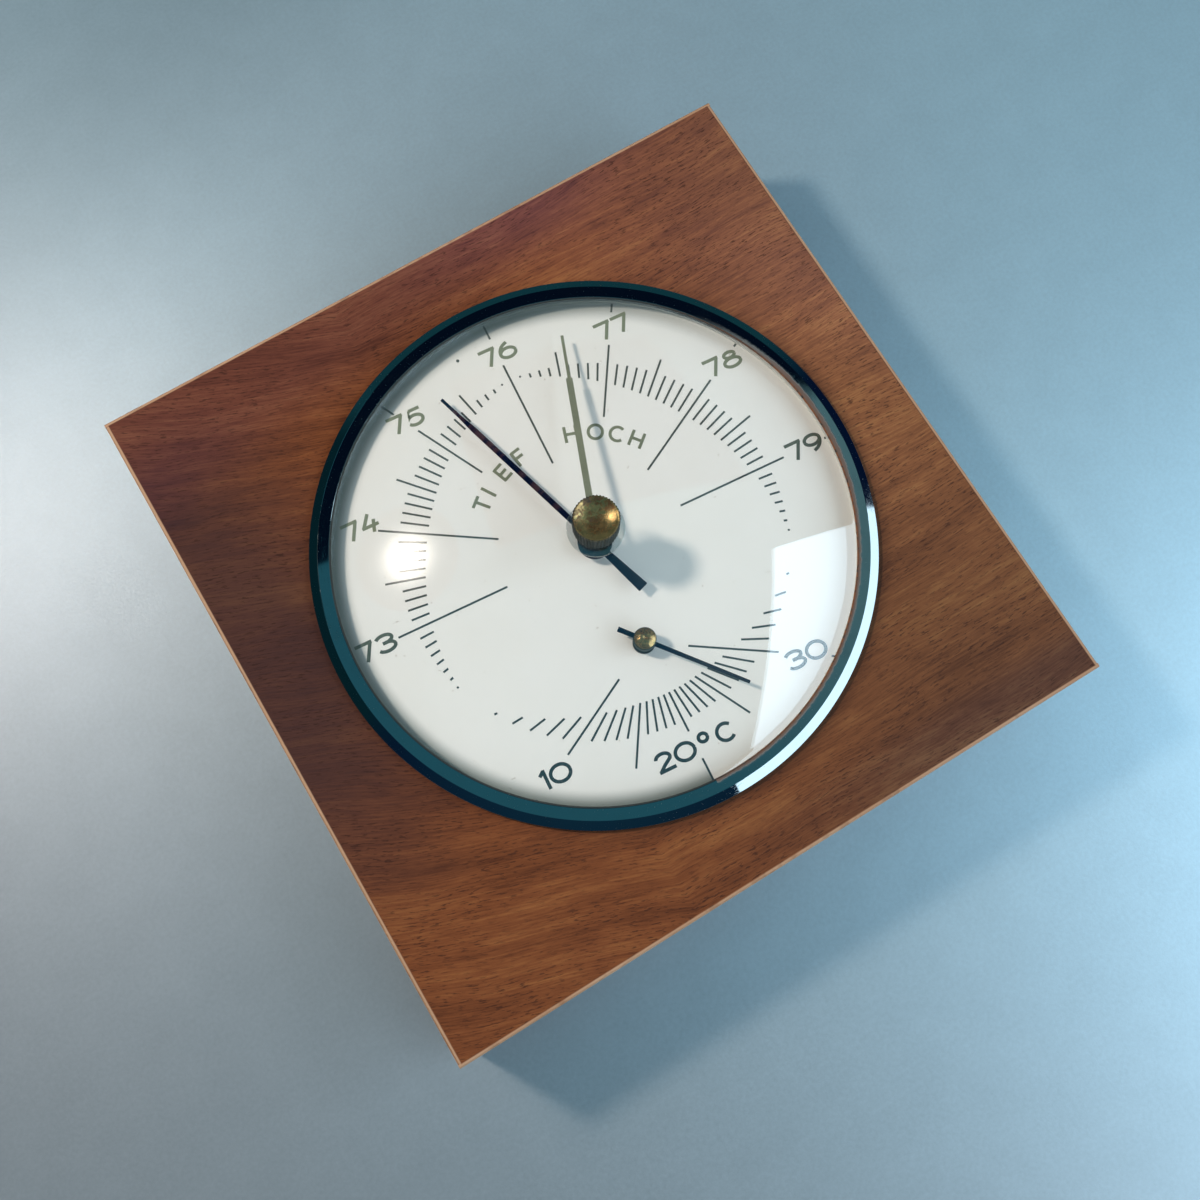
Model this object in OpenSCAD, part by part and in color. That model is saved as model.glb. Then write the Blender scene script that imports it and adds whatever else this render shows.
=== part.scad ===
// Weather station: a square veneered block that holds a round aneroid barometer with a small bimetal thermometer.
// It lies on its back: +Z points out of the dial, +Y is the top edge, and the origin is the middle of the back.

/* [Block] */
// Width and height of the square block
block_w = 140; // [136:1:180]
// Depth of the block from its back to its front
block_d = 32; // [32:1:45]
// Thickness of the front veneer
veneer_t = 0.9; // [0.5:0.1:3]
// Thickness of the edge strips
edge_t = 0.8; // [0.5:0.1:2]
// Chamfer along the front edges of the strips
arris = 0.3; // [0.1:0.05:0.4]

/* [Case] */
// Radius of the dial plate
dial_r = 51.5; // [49:0.5:53]
// Thickness of the dial plate
dial_t = 0.6; // [0.4:0.1:1]
// Depth of the dial's face below the front of the block
dial_sink = 1.4; // [1:0.1:2]
// Turn of the whole instrument in the block, clockwise seen from the front
dial_turn = 5; // [-10:1:10]
// Depth of the can from the front of the block to its underside
can_depth = 29.8; // [29:0.1:31]
// Wall of the pressed can
can_wall = 0.8; // [0.6:0.1:1]
// Width of the flange of the can beyond its wall
flange_w = 1.35; // [1:0.05:2]
// Gap between the can and the bore of the block
bore_gap = 0.4; // [0.2:0.1:1]
// Thickness of the clips that hold the can in the block
clip_t = 0.8; // [0.6:0.1:1]

/* [Bezel and glass] */
// Wall of the bezel outside the flange of the can
bezel_wall = 0.85; // [0.6:0.05:1.5]
// Height of the crest of the bezel above the block
crest_h = 2.3; // [2.2:0.1:3.5]
// Distance of the crest from the outer edge of the bezel
crest_in = 1.8; // [1.4:0.1:2.4]
// Height of the upright outer edge of the bezel
rim_h = 0.9; // [0.8:0.1:1.2]
// Reach of the lip of the bezel over the glass
lip_reach = 0.7; // [0.5:0.1:1.5]
// Thickness of the lip of the bezel
lip_t = 0.3; // [0.2:0.05:0.5]
// Height of the spacer ring between dial and glass
spacer_h = 1; // [0.8:0.1:1.6]
// Thickness of the glass
glass_t = 1.8; // [1.4:0.1:2.2]
// Rise of the glass from its rim to its middle
glass_rise = 9; // [8.6:0.1:11]
// Thickness of the seal under the lip of the bezel
seal_t = 0.25; // [0.2:0.05:0.5]

/* [Set hand] */
// Radius of the knob at the rim of its dome
knob_r = 4.3; // [3.8:0.1:6]
// Height of the knurled band of the knob
knurl_h = 3.2; // [2:0.1:5]
// Number of grooves in the knurled band
knurl_count = 44; // [24:2:60]
// Height of the dome of the knob
dome_h = 1.1; // [0.6:0.1:2]
// Radius of the spindle of the set hand
spindle_r = 1; // [0.8:0.1:1.2]
// Length of the set hand from the axis to its tip
set_len = 42.2; // [36:0.1:43]
// Width of the set hand
set_w = 1.3; // [1:0.1:2]
// Direction of the set hand, clockwise from the top of the dial
set_angle = 17.3; // [-180:0.1:180]

/* [Barometer] */
// Length of the pressure hand from the axis to its tip
hand_len = 41.8; // [36:0.1:43]
// Length of the tail of the pressure hand
tail_len = 12.8; // [9:0.1:14]
// Direction of the pressure hand, clockwise from the top of the dial
hand_angle = -20.1; // [-111:0.1:111]
// Radius of the hub of the pressure hand
hub_r = 3.35; // [2.5:0.05:4]
// Thickness of the hands
hand_t = 0.4; // [0.3:0.05:0.5]
// Turns of the hand for each turn of the rocking shaft
hand_ratio = 10; // [8:1:10]
// Radius of the capsule
capsule_r = 21.5; // [16:0.5:22]
// Rise of each capsule half from the rim to the middle
capsule_dome = 2.8; // [2:0.1:3]
// Number of corrugations from the middle to the seam
wave_count = 5; // [3:1:6]
// Thickness of the plates of the movement
plate_t = 1; // [0.8:0.1:1.2]
// Radius of the round base plate
base_r = 36; // [35:0.5:44]
// Length of the short arm of the rocking shaft
short_arm = 3.5; // [3:0.1:4.5]
// Radius of the hand arbor
arbor_r = 0.8; // [0.6:0.05:0.8]

/* [Thermometer] */
// Distance of the thermometer below the middle of the dial
thermo_y = 21.3; // [20:0.1:24]
// Length of the thermometer hand from its axis to its tip
thermo_len = 21.3; // [14:0.1:22]
// Length of the tail of the thermometer hand
thermo_tail = 5.45; // [3:0.05:6]
// Direction of the thermometer hand, counterclockwise from the bottom of the dial
thermo_angle = 41.8; // [-90:0.1:90]
// Outer radius of the bimetal spiral
bimetal_r = 7.4; // [5:0.1:7.8]
// Turns of the bimetal spiral
bimetal_turns = 4; // [3:1:5]

/* [Hidden] */
$fn = 72;

// Clearances: a running fit, a piece fixed in its hole, and an overlap for clean cuts
run_gap = 0.04;
fix_gap = 0.03;
cut = 0.5;

// Heights of the case
front_z = block_d;
can_z = front_z - can_depth;
floor_z = can_z + can_wall;
dial_top_z = front_z - dial_sink;
dial_z = dial_top_z - dial_t;
spacer_top_z = dial_top_z + spacer_h;

// Radii of the case
can_clear = 0.2;
can_in_r = dial_r + can_clear;
can_r = can_in_r + can_wall;
flange_r = can_r + flange_w;
bore_r = can_r + bore_gap;
bezel_r = flange_r + fix_gap + bezel_wall;
glass_r = dial_r - 0.1;
bezel_in_r = glass_r - lip_reach;
spacer_wall = 0.6;
can_bend_r = 2;

// The glass is a shell between two spheres with one centre
glass_rim_z = spacer_top_z + glass_t;
glass_out_r = (glass_r * glass_r + glass_rise * glass_rise) / (2 * glass_rise);
glass_centre_z = glass_rim_z + glass_rise - glass_out_r;
glass_in_r = glass_out_r - glass_t;
glass_top_z = glass_centre_z + glass_out_r;
glass_under_z = glass_top_z - glass_t;
lip_z = glass_height(bezel_in_r, glass_out_r) + seal_t;

// Block
core_w = block_w - 2 * edge_t;
core_d = block_d - veneer_t;
clip_len = 16;
clip_w = 12;
clip_reach = 6.5;
clip_in_r = can_r - clip_reach;
clip_pocket_gap = 0.5;
clip_screw_r = 1.2;
clip_screw_head_r = 2.3;
clip_screw_head_h = 1;
clip_screw_len = 9;
clip_angles = [30, 150, 270];

// Hanger in the back, near the top edge
hanger_w = 42;
hanger_h = 12;
hanger_t = 1;
hanger_sink = 1.9;
hanger_edge = 2.5;
hanger_y = block_w / 2 - hanger_edge - hanger_h / 2;
key_r = 3.3;
key_slot_r = 1.8;
key_rise = 4.6;
key_drop = 1.8;
key_pocket_r = 4.1;
key_pocket_depth = 8;
hanger_screw_x = 16;
hanger_screw_r = 1.1;
hanger_screw_head_r = 2.1;
hanger_screw_head_h = 0.7;
hanger_screw_len = 8;

// Frame of the movement
base_t = 1.2;
base_top_z = floor_z + base_t;
pillar_r = 2;
foot_collar_h = 1.4;
top_z = dial_z - foot_collar_h - plate_t;
top_r = 33;
pillar_ring = top_r - 3.7;
pillar_places = [for (a = [31, 149, 198, 342]) [pillar_ring * cos(a), pillar_ring * sin(a)]];
top_cut_y = -11.5;
foot_pin_r = 0.8;
foot_collar_r = 1.6;
foot_ring = top_r - 3.5;
foot_inset = 2.3;
foot_x = foot_ring * 0.61;
foot_places = [[0, foot_ring], [-foot_ring, foot_inset], [foot_x, top_cut_y + foot_inset]];
screw_r = 1;
screw_depth = 5;
screw_head_r = 2.1;
screw_head_h = 0.9;
vent_r = 1;
vent_ring_r = 12;
vent_count = 5;
screwdriver_slot = 0.5;
slot_depth = 0.45;

// Capsule
capsule_y = 4;
skin_t = 0.35;
foot_h = 1.8;
flat_r = 4;
seam_w = 2;
wave_amp = 0.35;
capsule_mid_z = base_top_z + foot_h + capsule_dome + skin_t;
capsule_top_z = capsule_mid_z + capsule_dome + skin_t;
post_h = 3.2;
post_r = 1.6;
post_neck_r = 0.8;
post_key_w = 4;

// Leaf spring and lever
stand_x = -26;
stand_w = 5;
leaf_w = 10;
leaf_t = 0.6;
leaf_end_x = 12;
leaf_z = capsule_top_z + post_h;
lever_t = 1;
lever_w = 3;
lever_start_x = 4;
rocker_x = 27.5;
link_x = rocker_x - short_arm;
link_w = 2.4;
link_t = 0.6;
link_eye_gap = 0.4;
clamp_t = 1.2;
clamp_screw_r = 0.7;
clamp_screw_head_r = 1.3;
clamp_screw_y = 2.6;
clamp_screw_len = 4;

// Rocking shaft
rocker_rise = 4.8;
rocker_z = base_top_z + rocker_rise;
rocker_r = 0.9;
pivot_r = 0.5;
ear_t = 0.8;
ear_low_y = -5.4;
ear_high_y = 8.6;
ear_w = 5;
ear_top = 2;
shaft_play = 0.1;
chain_drop = 2.6;
chain_z = top_z - chain_drop;
chain_arm = chain_z - rocker_z;
chain_arm_r = 0.55;
chain_pitch_r = chain_arm / hand_ratio;
short_arm_y = 3.6;
short_arm_t = 1;
crank_pin_r = 0.45;

// Chain
chain_w = 0.5;
chain_h = 0.9;
link_pitch = 1.2;
chain_hook_gap = 0.25;
chain_seam = 0.1;
wrap_links = 6;

// Hand arbor
cock_drop = 6.8;
cock_w = 6;
cock_post_y = 7.5;
cock_post_r = 1.3;
cock_z = top_z - cock_drop - plate_t;
cock_top_z = cock_z + plate_t;
arbor_play = 0.1;
arbor_body_r = arbor_r + 0.1;
collet_r = 1.5;
spring_z = cock_top_z + 0.8;
spring_h = 0.8;
spring_t = 0.15;
spring_out_r = 5.4;
spring_turns = 4;
stud_r = 0.5;
drum_h = 1.6;
drum_flange_h = 0.5;
drum_flange_w = 1;
hand_z = dial_top_z + 2.4;
socket_r = 1.5;

// Adjusting screw in the back
adjuster_x = stand_x - stand_w / 2;
adjuster_r = 1.5;
adjuster_head_r = 2.4;
adjuster_head_h = 1.7;
adjuster_hole_r = 3;

// Thermometer
thermo_plate_r = 10.8;
thermo_plate_z = cock_top_z + 0.8;
thermo_pillar_r = 1;
thermo_pillar_ring = 9.4;
thermo_arbor_r = 0.6;
thermo_collet_r = 1.2;
bush_flange_r = 2.2;
bush_flange_h = 0.6;
bush_r = 1.5;
bush_len = 2;
bimetal_t = 0.4;
bimetal_h = 3;
bimetal_z = thermo_plate_z + plate_t + 1;
thermo_hand_z = dial_top_z + 2.6;
cap_r = 2.2;
cap_low = 0.8;
cap_high = 1.9;
cap_dome_h = 0.7;
cap_rim = 0.2;

// Set hand and knob
set_hub_z = glass_under_z - 1.5;
set_hub_t = 0.5;
set_blade_t = 0.3;
set_hub_r = 2.4;
set_tip_z = hand_z + hand_t + 0.4;
set_slope = atan((set_hub_z - set_tip_z) / (set_len - set_hub_r));
set_step = 9.8;
set_tip_w = 0.6;
bush_glass_r = spindle_r + 0.95;
bush_top_r = 3.6;
bush_top_h = 0.6;
bush_low_r = 2.8;
bush_low_h = 0.7;
knob_z = glass_top_z + bush_top_h + 0.1;
collar_h = 1.2;
collar_in = 1.3;
knurl_in = 0.2;
knurl_groove = 0.18;
neck_h = 0.4;
neck_in = 0.5;
knob_rim_h = 0.5;

// Height of a glass sphere of radius s at the distance r from the axis
function glass_height(r, s) = glass_centre_z + sqrt(s * s - r * r);

// Points on an arc about c from angle a to angle b
function arc(c, r, a, b, n) = [
    for (i = [0:n]) let (t = a + (b - a) * i / n) [c[0] + r * cos(t), c[1] + r * sin(t)]
];

// Points along a flat spiral, at an offset across it
function spiral(r0, r1, turns, shift, n) = [
    for (i = [0:n]) let (a = 360 * turns * i / n, r = r0 + (r1 - r0) * i / n + shift) [r * cos(a), r * sin(a)]
];

function reversed(points) = [for (i = [len(points) - 1:-1:0]) points[i]];

// Height of a capsule half above its seam at the distance r from its axis
function diaphragm(r) =
    let (outer = capsule_r - seam_w, u = (r - flat_r) / (outer - flat_r))
    u <= 0 ? capsule_dome
    : u >= 1 ? 0
    : capsule_dome * (1 - u * u) + wave_amp * sin(360 * wave_count * u) * min(1, 4 * (1 - u));

// Everything that is turned with the dial
module instrument() {
    rotate([0, 0, -dial_turn]) children();
}

// A flat ring or disc with a hole
module ring(outer, inner, h) {
    difference() {
        cylinder(r = outer, h = h);
        translate([0, 0, -cut]) cylinder(r = inner, h = h + 2 * cut);
    }
}

// A cylinder along +Y that starts at the origin
module rod_y(r, h) {
    rotate([-90, 0, 0]) cylinder(r = r, h = h);
}

// A slotted screw with its head's top at the origin and its shank along +Z
module screw(head_r, head_h, shank_r, shank_h) {
    difference() {
        cylinder(r = head_r, h = head_h);
        translate([-head_r - cut, -screwdriver_slot / 2, -cut])
            cube([2 * (head_r + cut), screwdriver_slot, slot_depth + cut]);
    }
    translate([0, 0, head_h]) cylinder(r = shank_r, h = shank_h);
}

// A strip of metal wound into a flat spiral
module spiral_strip(r0, r1, turns, t, h) {
    n = 24 * turns;
    linear_extrude(h)
        polygon(concat(spiral(r0, r1, turns, t / 2, n), reversed(spiral(r0, r1, turns, -t / 2, n))));
}

// Block

// Keyhole outline of the hanger plate: r is the round opening and s the slot above it
module keyhole(r, s, h) {
    translate([0, -key_drop, 0]) cylinder(r = r, h = h);
    translate([-s, -key_drop, 0]) cube([2 * s, key_rise, h]);
    translate([0, key_rise - key_drop, 0]) cylinder(r = s, h = h);
}

module clip_outline(grow, h) {
    for (a = clip_angles)
        rotate([0, 0, a])
            translate([clip_in_r - grow, -clip_w / 2 - grow, 0])
                cube([clip_len + 2 * grow, clip_w + 2 * grow, h]);
}

module at_clip_screws() {
    for (a = clip_angles)
        rotate([0, 0, a]) translate([clip_in_r + clip_len - clip_w / 3, 0, 0]) children();
}

module at_hanger_screws() {
    for (x = [-hanger_screw_x, hanger_screw_x]) translate([x, hanger_y, 0]) children();
}

module core_block() {
    color("burlywood") difference() {
        translate([-core_w / 2, -core_w / 2, 0]) cube([core_w, core_w, core_d]);
        translate([0, 0, -cut]) cylinder(r = bore_r, h = core_d + 2 * cut);
        translate([0, 0, -cut]) clip_outline(clip_pocket_gap, can_z + cut);
        at_clip_screws() cylinder(r = clip_screw_r + fix_gap, h = can_z + clip_screw_len);
        translate([-hanger_w / 2 - fix_gap, hanger_y - hanger_h / 2 - fix_gap, -cut])
            cube([hanger_w + 2 * fix_gap, hanger_h + 2 * fix_gap, hanger_sink + cut]);
        translate([0, hanger_y, 0]) keyhole(key_pocket_r, key_pocket_r - 1, key_pocket_depth);
        at_hanger_screws() cylinder(r = hanger_screw_r + fix_gap, h = hanger_sink + hanger_screw_len);
    }
}

module front_veneer() {
    color("sienna") difference() {
        translate([-core_w / 2, -core_w / 2, core_d]) cube([core_w, core_w, veneer_t]);
        translate([0, 0, core_d - cut]) cylinder(r = bore_r, h = veneer_t + 2 * cut);
    }
}

// One edge strip, standing along +X with its outer face towards +Y
module edge_strip(length) {
    rotate([90, 0, 90])
        linear_extrude(length, center = true)
            polygon([
                [0, 0], [edge_t, 0], [edge_t, block_d - arris], [edge_t - arris, block_d], [0, block_d]
            ]);
}

module edge_strips() {
    color("peru") {
        for (a = [0, 180]) rotate([0, 0, a]) translate([0, core_w / 2, 0]) edge_strip(block_w);
        for (a = [90, 270]) rotate([0, 0, a]) translate([0, core_w / 2, 0]) edge_strip(core_w - 2 * fix_gap);
    }
}

module hanger_plate() {
    color("gainsboro") translate([0, hanger_y, hanger_sink - hanger_t]) difference() {
        translate([-hanger_w / 2, -hanger_h / 2, 0]) cube([hanger_w, hanger_h, hanger_t]);
        translate([0, 0, -cut]) keyhole(key_r, key_slot_r, hanger_t + 2 * cut);
        for (x = [-hanger_screw_x, hanger_screw_x])
            translate([x, 0, -cut]) cylinder(r = hanger_screw_r + fix_gap, h = hanger_t + 2 * cut);
    }
}

module hanger_screws() {
    color("gainsboro") at_hanger_screws()
        translate([0, 0, hanger_sink - hanger_t - hanger_screw_head_h])
            screw(
                hanger_screw_head_r, hanger_screw_head_h, hanger_screw_r, hanger_screw_len + hanger_t - cut
            );
}

// Case

module case_can() {
    bend = arc([can_r - can_bend_r, can_z + can_bend_r], can_bend_r, -90, 0, 6);
    inside = arc([can_r - can_bend_r, can_z + can_bend_r], can_bend_r - can_wall, 0, -90, 6);
    color("darkgray") difference() {
        rotate_extrude() polygon(concat(
            [[0, can_z]],
            bend,
            [
                [can_r, front_z], [flange_r, front_z],
                [flange_r, front_z + can_wall], [can_in_r, front_z + can_wall]
            ],
            inside,
            [[0, floor_z]]
        ));
        instrument() {
            for (p = pillar_places)
                translate([p[0], p[1], can_z - cut]) cylinder(r = screw_r + fix_gap, h = can_wall + 2 * cut);
            translate([adjuster_x, capsule_y, can_z - cut])
                cylinder(r = adjuster_hole_r, h = can_wall + 2 * cut);
            for (i = [0:vent_count - 1])
                rotate([0, 0, 360 * i / vent_count])
                    translate([0, vent_ring_r, can_z - cut]) cylinder(r = vent_r, h = can_wall + 2 * cut);
        }
    }
}

module can_clips() {
    color("silver") difference() {
        translate([0, 0, can_z - clip_t]) clip_outline(0, clip_t);
        at_clip_screws() translate([0, 0, can_z - clip_t - cut])
            cylinder(r = clip_screw_r + fix_gap, h = clip_t + 2 * cut);
    }
}

module clip_screws() {
    color("goldenrod") at_clip_screws()
        translate([0, 0, can_z - clip_t - clip_screw_head_h])
            screw(clip_screw_head_r, clip_screw_head_h, clip_screw_r, clip_screw_len);
}

module bezel_ring() {
    skirt_r = flange_r + fix_gap;
    seat_z = front_z + can_wall + fix_gap;
    color("silver") rotate_extrude($fn = 144) polygon([
        [bezel_r, front_z],
        [bezel_r, front_z + rim_h],
        [bezel_r - crest_in, front_z + crest_h],
        [bezel_in_r, lip_z + lip_t],
        [bezel_in_r, lip_z],
        [glass_r + can_clear, lip_z],
        [glass_r + can_clear, seat_z],
        [skirt_r, seat_z],
        [skirt_r, front_z]
    ]);
}

// Profile of a spherical shell from radius a to radius b
module glass_profile(a, b) {
    steps = 20;
    radii = [for (i = [0:steps]) a + (b - a) * i / steps];
    polygon(concat(
        [for (r = radii) [r, glass_height(r, glass_in_r)]],
        [for (r = reversed(radii)) [r, glass_height(r, glass_out_r)]]
    ));
}

module domed_glass() {
    color([0.85, 0.92, 0.95, 0.3])
        rotate_extrude($fn = 120) glass_profile(bush_glass_r + run_gap, glass_r);
}

module glass_seal() {
    peek = 0.3;
    inner = bezel_in_r - peek;
    color("saddlebrown") rotate_extrude($fn = 120) polygon([
        [inner, glass_height(inner, glass_out_r) + fix_gap],
        [glass_r, glass_height(glass_r, glass_out_r) + fix_gap],
        [glass_r, lip_z],
        [inner, lip_z]
    ]);
}

module spacer_ring() {
    top = glass_height(glass_r, glass_in_r);
    color("whitesmoke") translate([0, 0, dial_top_z])
        ring(can_in_r - fix_gap, can_in_r - fix_gap - spacer_wall, top - dial_top_z);
}

module dial_plate() {
    color("whitesmoke") instrument() difference() {
        translate([0, 0, dial_z]) cylinder(r = dial_r, h = dial_t);
        translate([0, 0, dial_z - cut]) cylinder(r = socket_r + 0.4, h = dial_t + 2 * cut);
        translate([0, -thermo_y, dial_z - cut]) cylinder(r = bush_r + fix_gap, h = dial_t + 2 * cut);
    }
}

module dial_feet() {
    color("peru") instrument() for (p = foot_places) translate([p[0], p[1], 0]) {
        translate([0, 0, top_z + plate_t]) cylinder(r = foot_collar_r, h = foot_collar_h);
        translate([0, 0, top_z - plate_t / 2]) cylinder(r = foot_pin_r, h = plate_t * 1.5);
    }
}

module glass_bush() {
    color([0.9, 0.95, 0.95, 0.6]) difference() {
        union() {
            translate([0, 0, glass_top_z]) cylinder(r = bush_top_r, h = bush_top_h);
            translate([0, 0, glass_under_z - bush_low_h])
                cylinder(r = bush_glass_r, h = glass_t + bush_low_h + bush_top_h);
            translate([0, 0, glass_under_z - bush_low_h]) cylinder(r = bush_low_r, h = bush_low_h - fix_gap);
        }
        translate([0, 0, glass_under_z - bush_low_h - cut])
            cylinder(r = spindle_r + run_gap, h = glass_t + bush_low_h + bush_top_h + 2 * cut);
    }
}

// Set hand

module set_knob() {
    band_z = collar_h;
    neck_z = band_z + knurl_h;
    rim_z = neck_z + neck_h;
    band_r = knob_r - knurl_in;
    dome_r = (knob_r * knob_r + dome_h * dome_h) / (2 * dome_h);
    dome_a = asin(knob_r / dome_r);
    color("goldenrod") translate([0, 0, knob_z]) difference() {
        union() {
            cylinder(r = knob_r - collar_in, h = collar_h);
            translate([0, 0, band_z]) linear_extrude(knurl_h) polygon([
                for (i = [0:2 * knurl_count - 1])
                    let (a = 180 * i / knurl_count, r = band_r - (i % 2) * knurl_groove)
                        [r * cos(a), r * sin(a)]
            ]);
            translate([0, 0, neck_z]) cylinder(r = knob_r - neck_in, h = neck_h);
            rotate_extrude() polygon(concat(
                [[0, rim_z], [knob_r, rim_z], [knob_r, rim_z + knob_rim_h]],
                arc([0, rim_z + knob_rim_h + dome_h - dome_r], dome_r, 90 - dome_a, 90, 8)
            ));
        }
        translate([0, 0, -cut]) cylinder(r = spindle_r + fix_gap, h = neck_z + cut);
    }
}

module set_spindle() {
    color("goldenrod") translate([0, 0, set_hub_z])
        cylinder(r = spindle_r, h = knob_z + collar_h + knurl_h - set_hub_z - fix_gap);
}

module set_hand() {
    blade = set_len - set_step;
    color("darkkhaki") instrument() rotate([0, 0, -set_angle]) difference() {
        union() {
            translate([0, 0, set_hub_z]) cylinder(r = set_hub_r, h = set_hub_t);
            translate([0, set_hub_r - 0.8, set_hub_z]) rotate([-set_slope, 0, 0]) {
                translate([-set_w / 2, 0, 0]) cube([set_w, blade - set_hub_r, set_blade_t]);
                translate([-set_tip_w / 2, 0, 0]) cube([set_tip_w, set_len - set_hub_r, set_blade_t]);
            }
        }
        translate([0, 0, set_hub_z - 3 * cut]) cylinder(r = spindle_r + fix_gap, h = set_hub_t + 6 * cut);
    }
}

// Frame of the movement

module at_pillars() {
    for (p = pillar_places) translate([p[0], p[1], 0]) children();
}

module base_plate() {
    color("darkgoldenrod") instrument() difference() {
        translate([0, 0, floor_z]) cylinder(r = base_r, h = base_t);
        at_pillars() translate([0, 0, floor_z - cut]) cylinder(r = screw_r + fix_gap, h = base_t + 2 * cut);
        translate([adjuster_x, capsule_y, floor_z - cut])
            cylinder(r = adjuster_r + run_gap, h = base_t + 2 * cut);
    }
}

module base_screws() {
    color("steelblue") instrument() at_pillars()
        translate([0, 0, can_z - screw_head_h])
            screw(screw_head_r, screw_head_h, screw_r, can_wall + base_t + screw_depth - cut);
}

module frame_pillars() {
    color("goldenrod") instrument() at_pillars() difference() {
        translate([0, 0, base_top_z]) cylinder(r = pillar_r, h = top_z - base_top_z);
        translate([0, 0, base_top_z - cut]) cylinder(r = screw_r + fix_gap, h = screw_depth + cut);
        translate([0, 0, top_z - screw_depth]) cylinder(r = screw_r + fix_gap, h = screw_depth + cut);
    }
}

module top_plate() {
    color("darkgoldenrod") instrument() difference() {
        translate([0, 0, top_z]) cylinder(r = top_r, h = plate_t);
        translate([-top_r - cut, -top_r - cut, top_z - cut])
            cube([2 * (top_r + cut), top_r + cut + top_cut_y, plate_t + 2 * cut]);
        translate([0, 0, top_z - cut]) cylinder(r = arbor_r + run_gap, h = plate_t + 2 * cut);
        at_pillars() translate([0, 0, top_z - cut]) cylinder(r = screw_r + fix_gap, h = plate_t + 2 * cut);
        for (p = foot_places)
            translate([p[0], p[1], top_z - cut]) cylinder(r = foot_pin_r + fix_gap, h = plate_t + 2 * cut);
    }
}

module top_screws() {
    color("steelblue") instrument() at_pillars()
        translate([0, 0, top_z + plate_t + screw_head_h]) mirror([0, 0, 1])
            screw(screw_head_r, screw_head_h, screw_r, plate_t + screw_depth - cut);
}

module arbor_cock() {
    color("darkgoldenrod") instrument() difference() {
        union() {
            translate([-cock_w / 2, -cock_post_y - 2, cock_z])
                cube([cock_w, 2 * (cock_post_y + 2), plate_t]);
            for (y = [-cock_post_y, cock_post_y])
                translate([0, y, cock_z]) cylinder(r = cock_post_r, h = top_z - cock_z);
        }
        translate([0, 0, cock_z - cut]) cylinder(r = pivot_r + run_gap, h = plate_t + 2 * cut);
    }
}

module hairspring_stud() {
    x = spring_out_r + spring_t / 2 + stud_r + fix_gap;
    color("goldenrod") instrument() translate([x, 0, spring_z - 0.2])
        cylinder(r = stud_r, h = top_z - spring_z + 0.2, $fn = 24);
}

// Capsule

// One corrugated half above its seam
module capsule_half() {
    steps = 60;
    radii = [for (i = [0:steps]) capsule_r * i / steps];
    rotate_extrude() polygon(concat(
        [for (r = radii) [r, diaphragm(r)]],
        [for (r = reversed(radii)) [r, diaphragm(r) + skin_t]]
    ));
}

module capsule_foot() {
    color("goldenrod") instrument() translate([0, capsule_y, base_top_z]) cylinder(r = flat_r, h = foot_h);
}

module capsule_lower() {
    color("silver") instrument() translate([0, capsule_y, capsule_mid_z]) mirror([0, 0, 1]) capsule_half();
}

module capsule_upper() {
    color("silver") instrument() translate([0, capsule_y, capsule_mid_z]) capsule_half();
}

module capsule_post() {
    key_z = leaf_z + leaf_t + 0.1;
    color("goldenrod") instrument() translate([0, capsule_y, 0]) {
        translate([0, 0, capsule_top_z]) cylinder(r = flat_r - 1, h = 0.6);
        translate([0, 0, capsule_top_z]) cylinder(r = post_r, h = post_h - 0.1);
        translate([0, 0, capsule_top_z]) cylinder(r = post_neck_r, h = key_z + 0.6 - capsule_top_z);
        translate([-0.4, -post_key_w / 2, key_z]) cube([0.8, post_key_w, 0.6]);
    }
}

// Leaf spring and lever

module at_clamp_screws() {
    for (y = [-clamp_screw_y, clamp_screw_y])
        translate([stand_x - stand_w / 2, capsule_y + y, 0]) children();
}

module spring_stand() {
    foot_x = 3;
    color("darkgoldenrod") instrument() difference() {
        union() {
            translate([stand_x - stand_w, capsule_y - leaf_w / 2, base_top_z])
                cube([stand_w, leaf_w, leaf_z - base_top_z]);
            translate([stand_x - stand_w, capsule_y - leaf_w / 2 - 1, base_top_z])
                cube([stand_w + foot_x - cut, leaf_w + 2, 1]);
        }
        at_clamp_screws() translate([0, 0, leaf_z - clamp_screw_len])
            cylinder(r = clamp_screw_r + fix_gap, h = clamp_screw_len + cut);
    }
}

module clamp_plate() {
    color("darkgoldenrod") instrument() difference() {
        translate([stand_x - stand_w, capsule_y - leaf_w / 2, leaf_z + leaf_t])
            cube([stand_w, leaf_w, clamp_t]);
        at_clamp_screws() translate([0, 0, leaf_z + leaf_t - cut])
            cylinder(r = clamp_screw_r + fix_gap, h = clamp_t + 2 * cut);
    }
}

module clamp_screws() {
    head_h = 0.8;
    color("steelblue") instrument() at_clamp_screws()
        translate([0, 0, leaf_z + leaf_t + clamp_t + head_h]) mirror([0, 0, 1])
            screw(clamp_screw_head_r, head_h, clamp_screw_r, clamp_t + leaf_t + clamp_screw_len - cut);
}

module leaf_spring() {
    color("slategray") instrument() difference() {
        translate([stand_x - stand_w, capsule_y - leaf_w / 2, leaf_z])
            cube([leaf_end_x - stand_x + stand_w, leaf_w, leaf_t]);
        translate([0, capsule_y, leaf_z - cut]) cylinder(r = post_neck_r + 0.2, h = leaf_t + 2 * cut);
        at_clamp_screws() translate([0, 0, leaf_z - cut])
            cylinder(r = clamp_screw_r + fix_gap, h = leaf_t + 2 * cut);
    }
}

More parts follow.
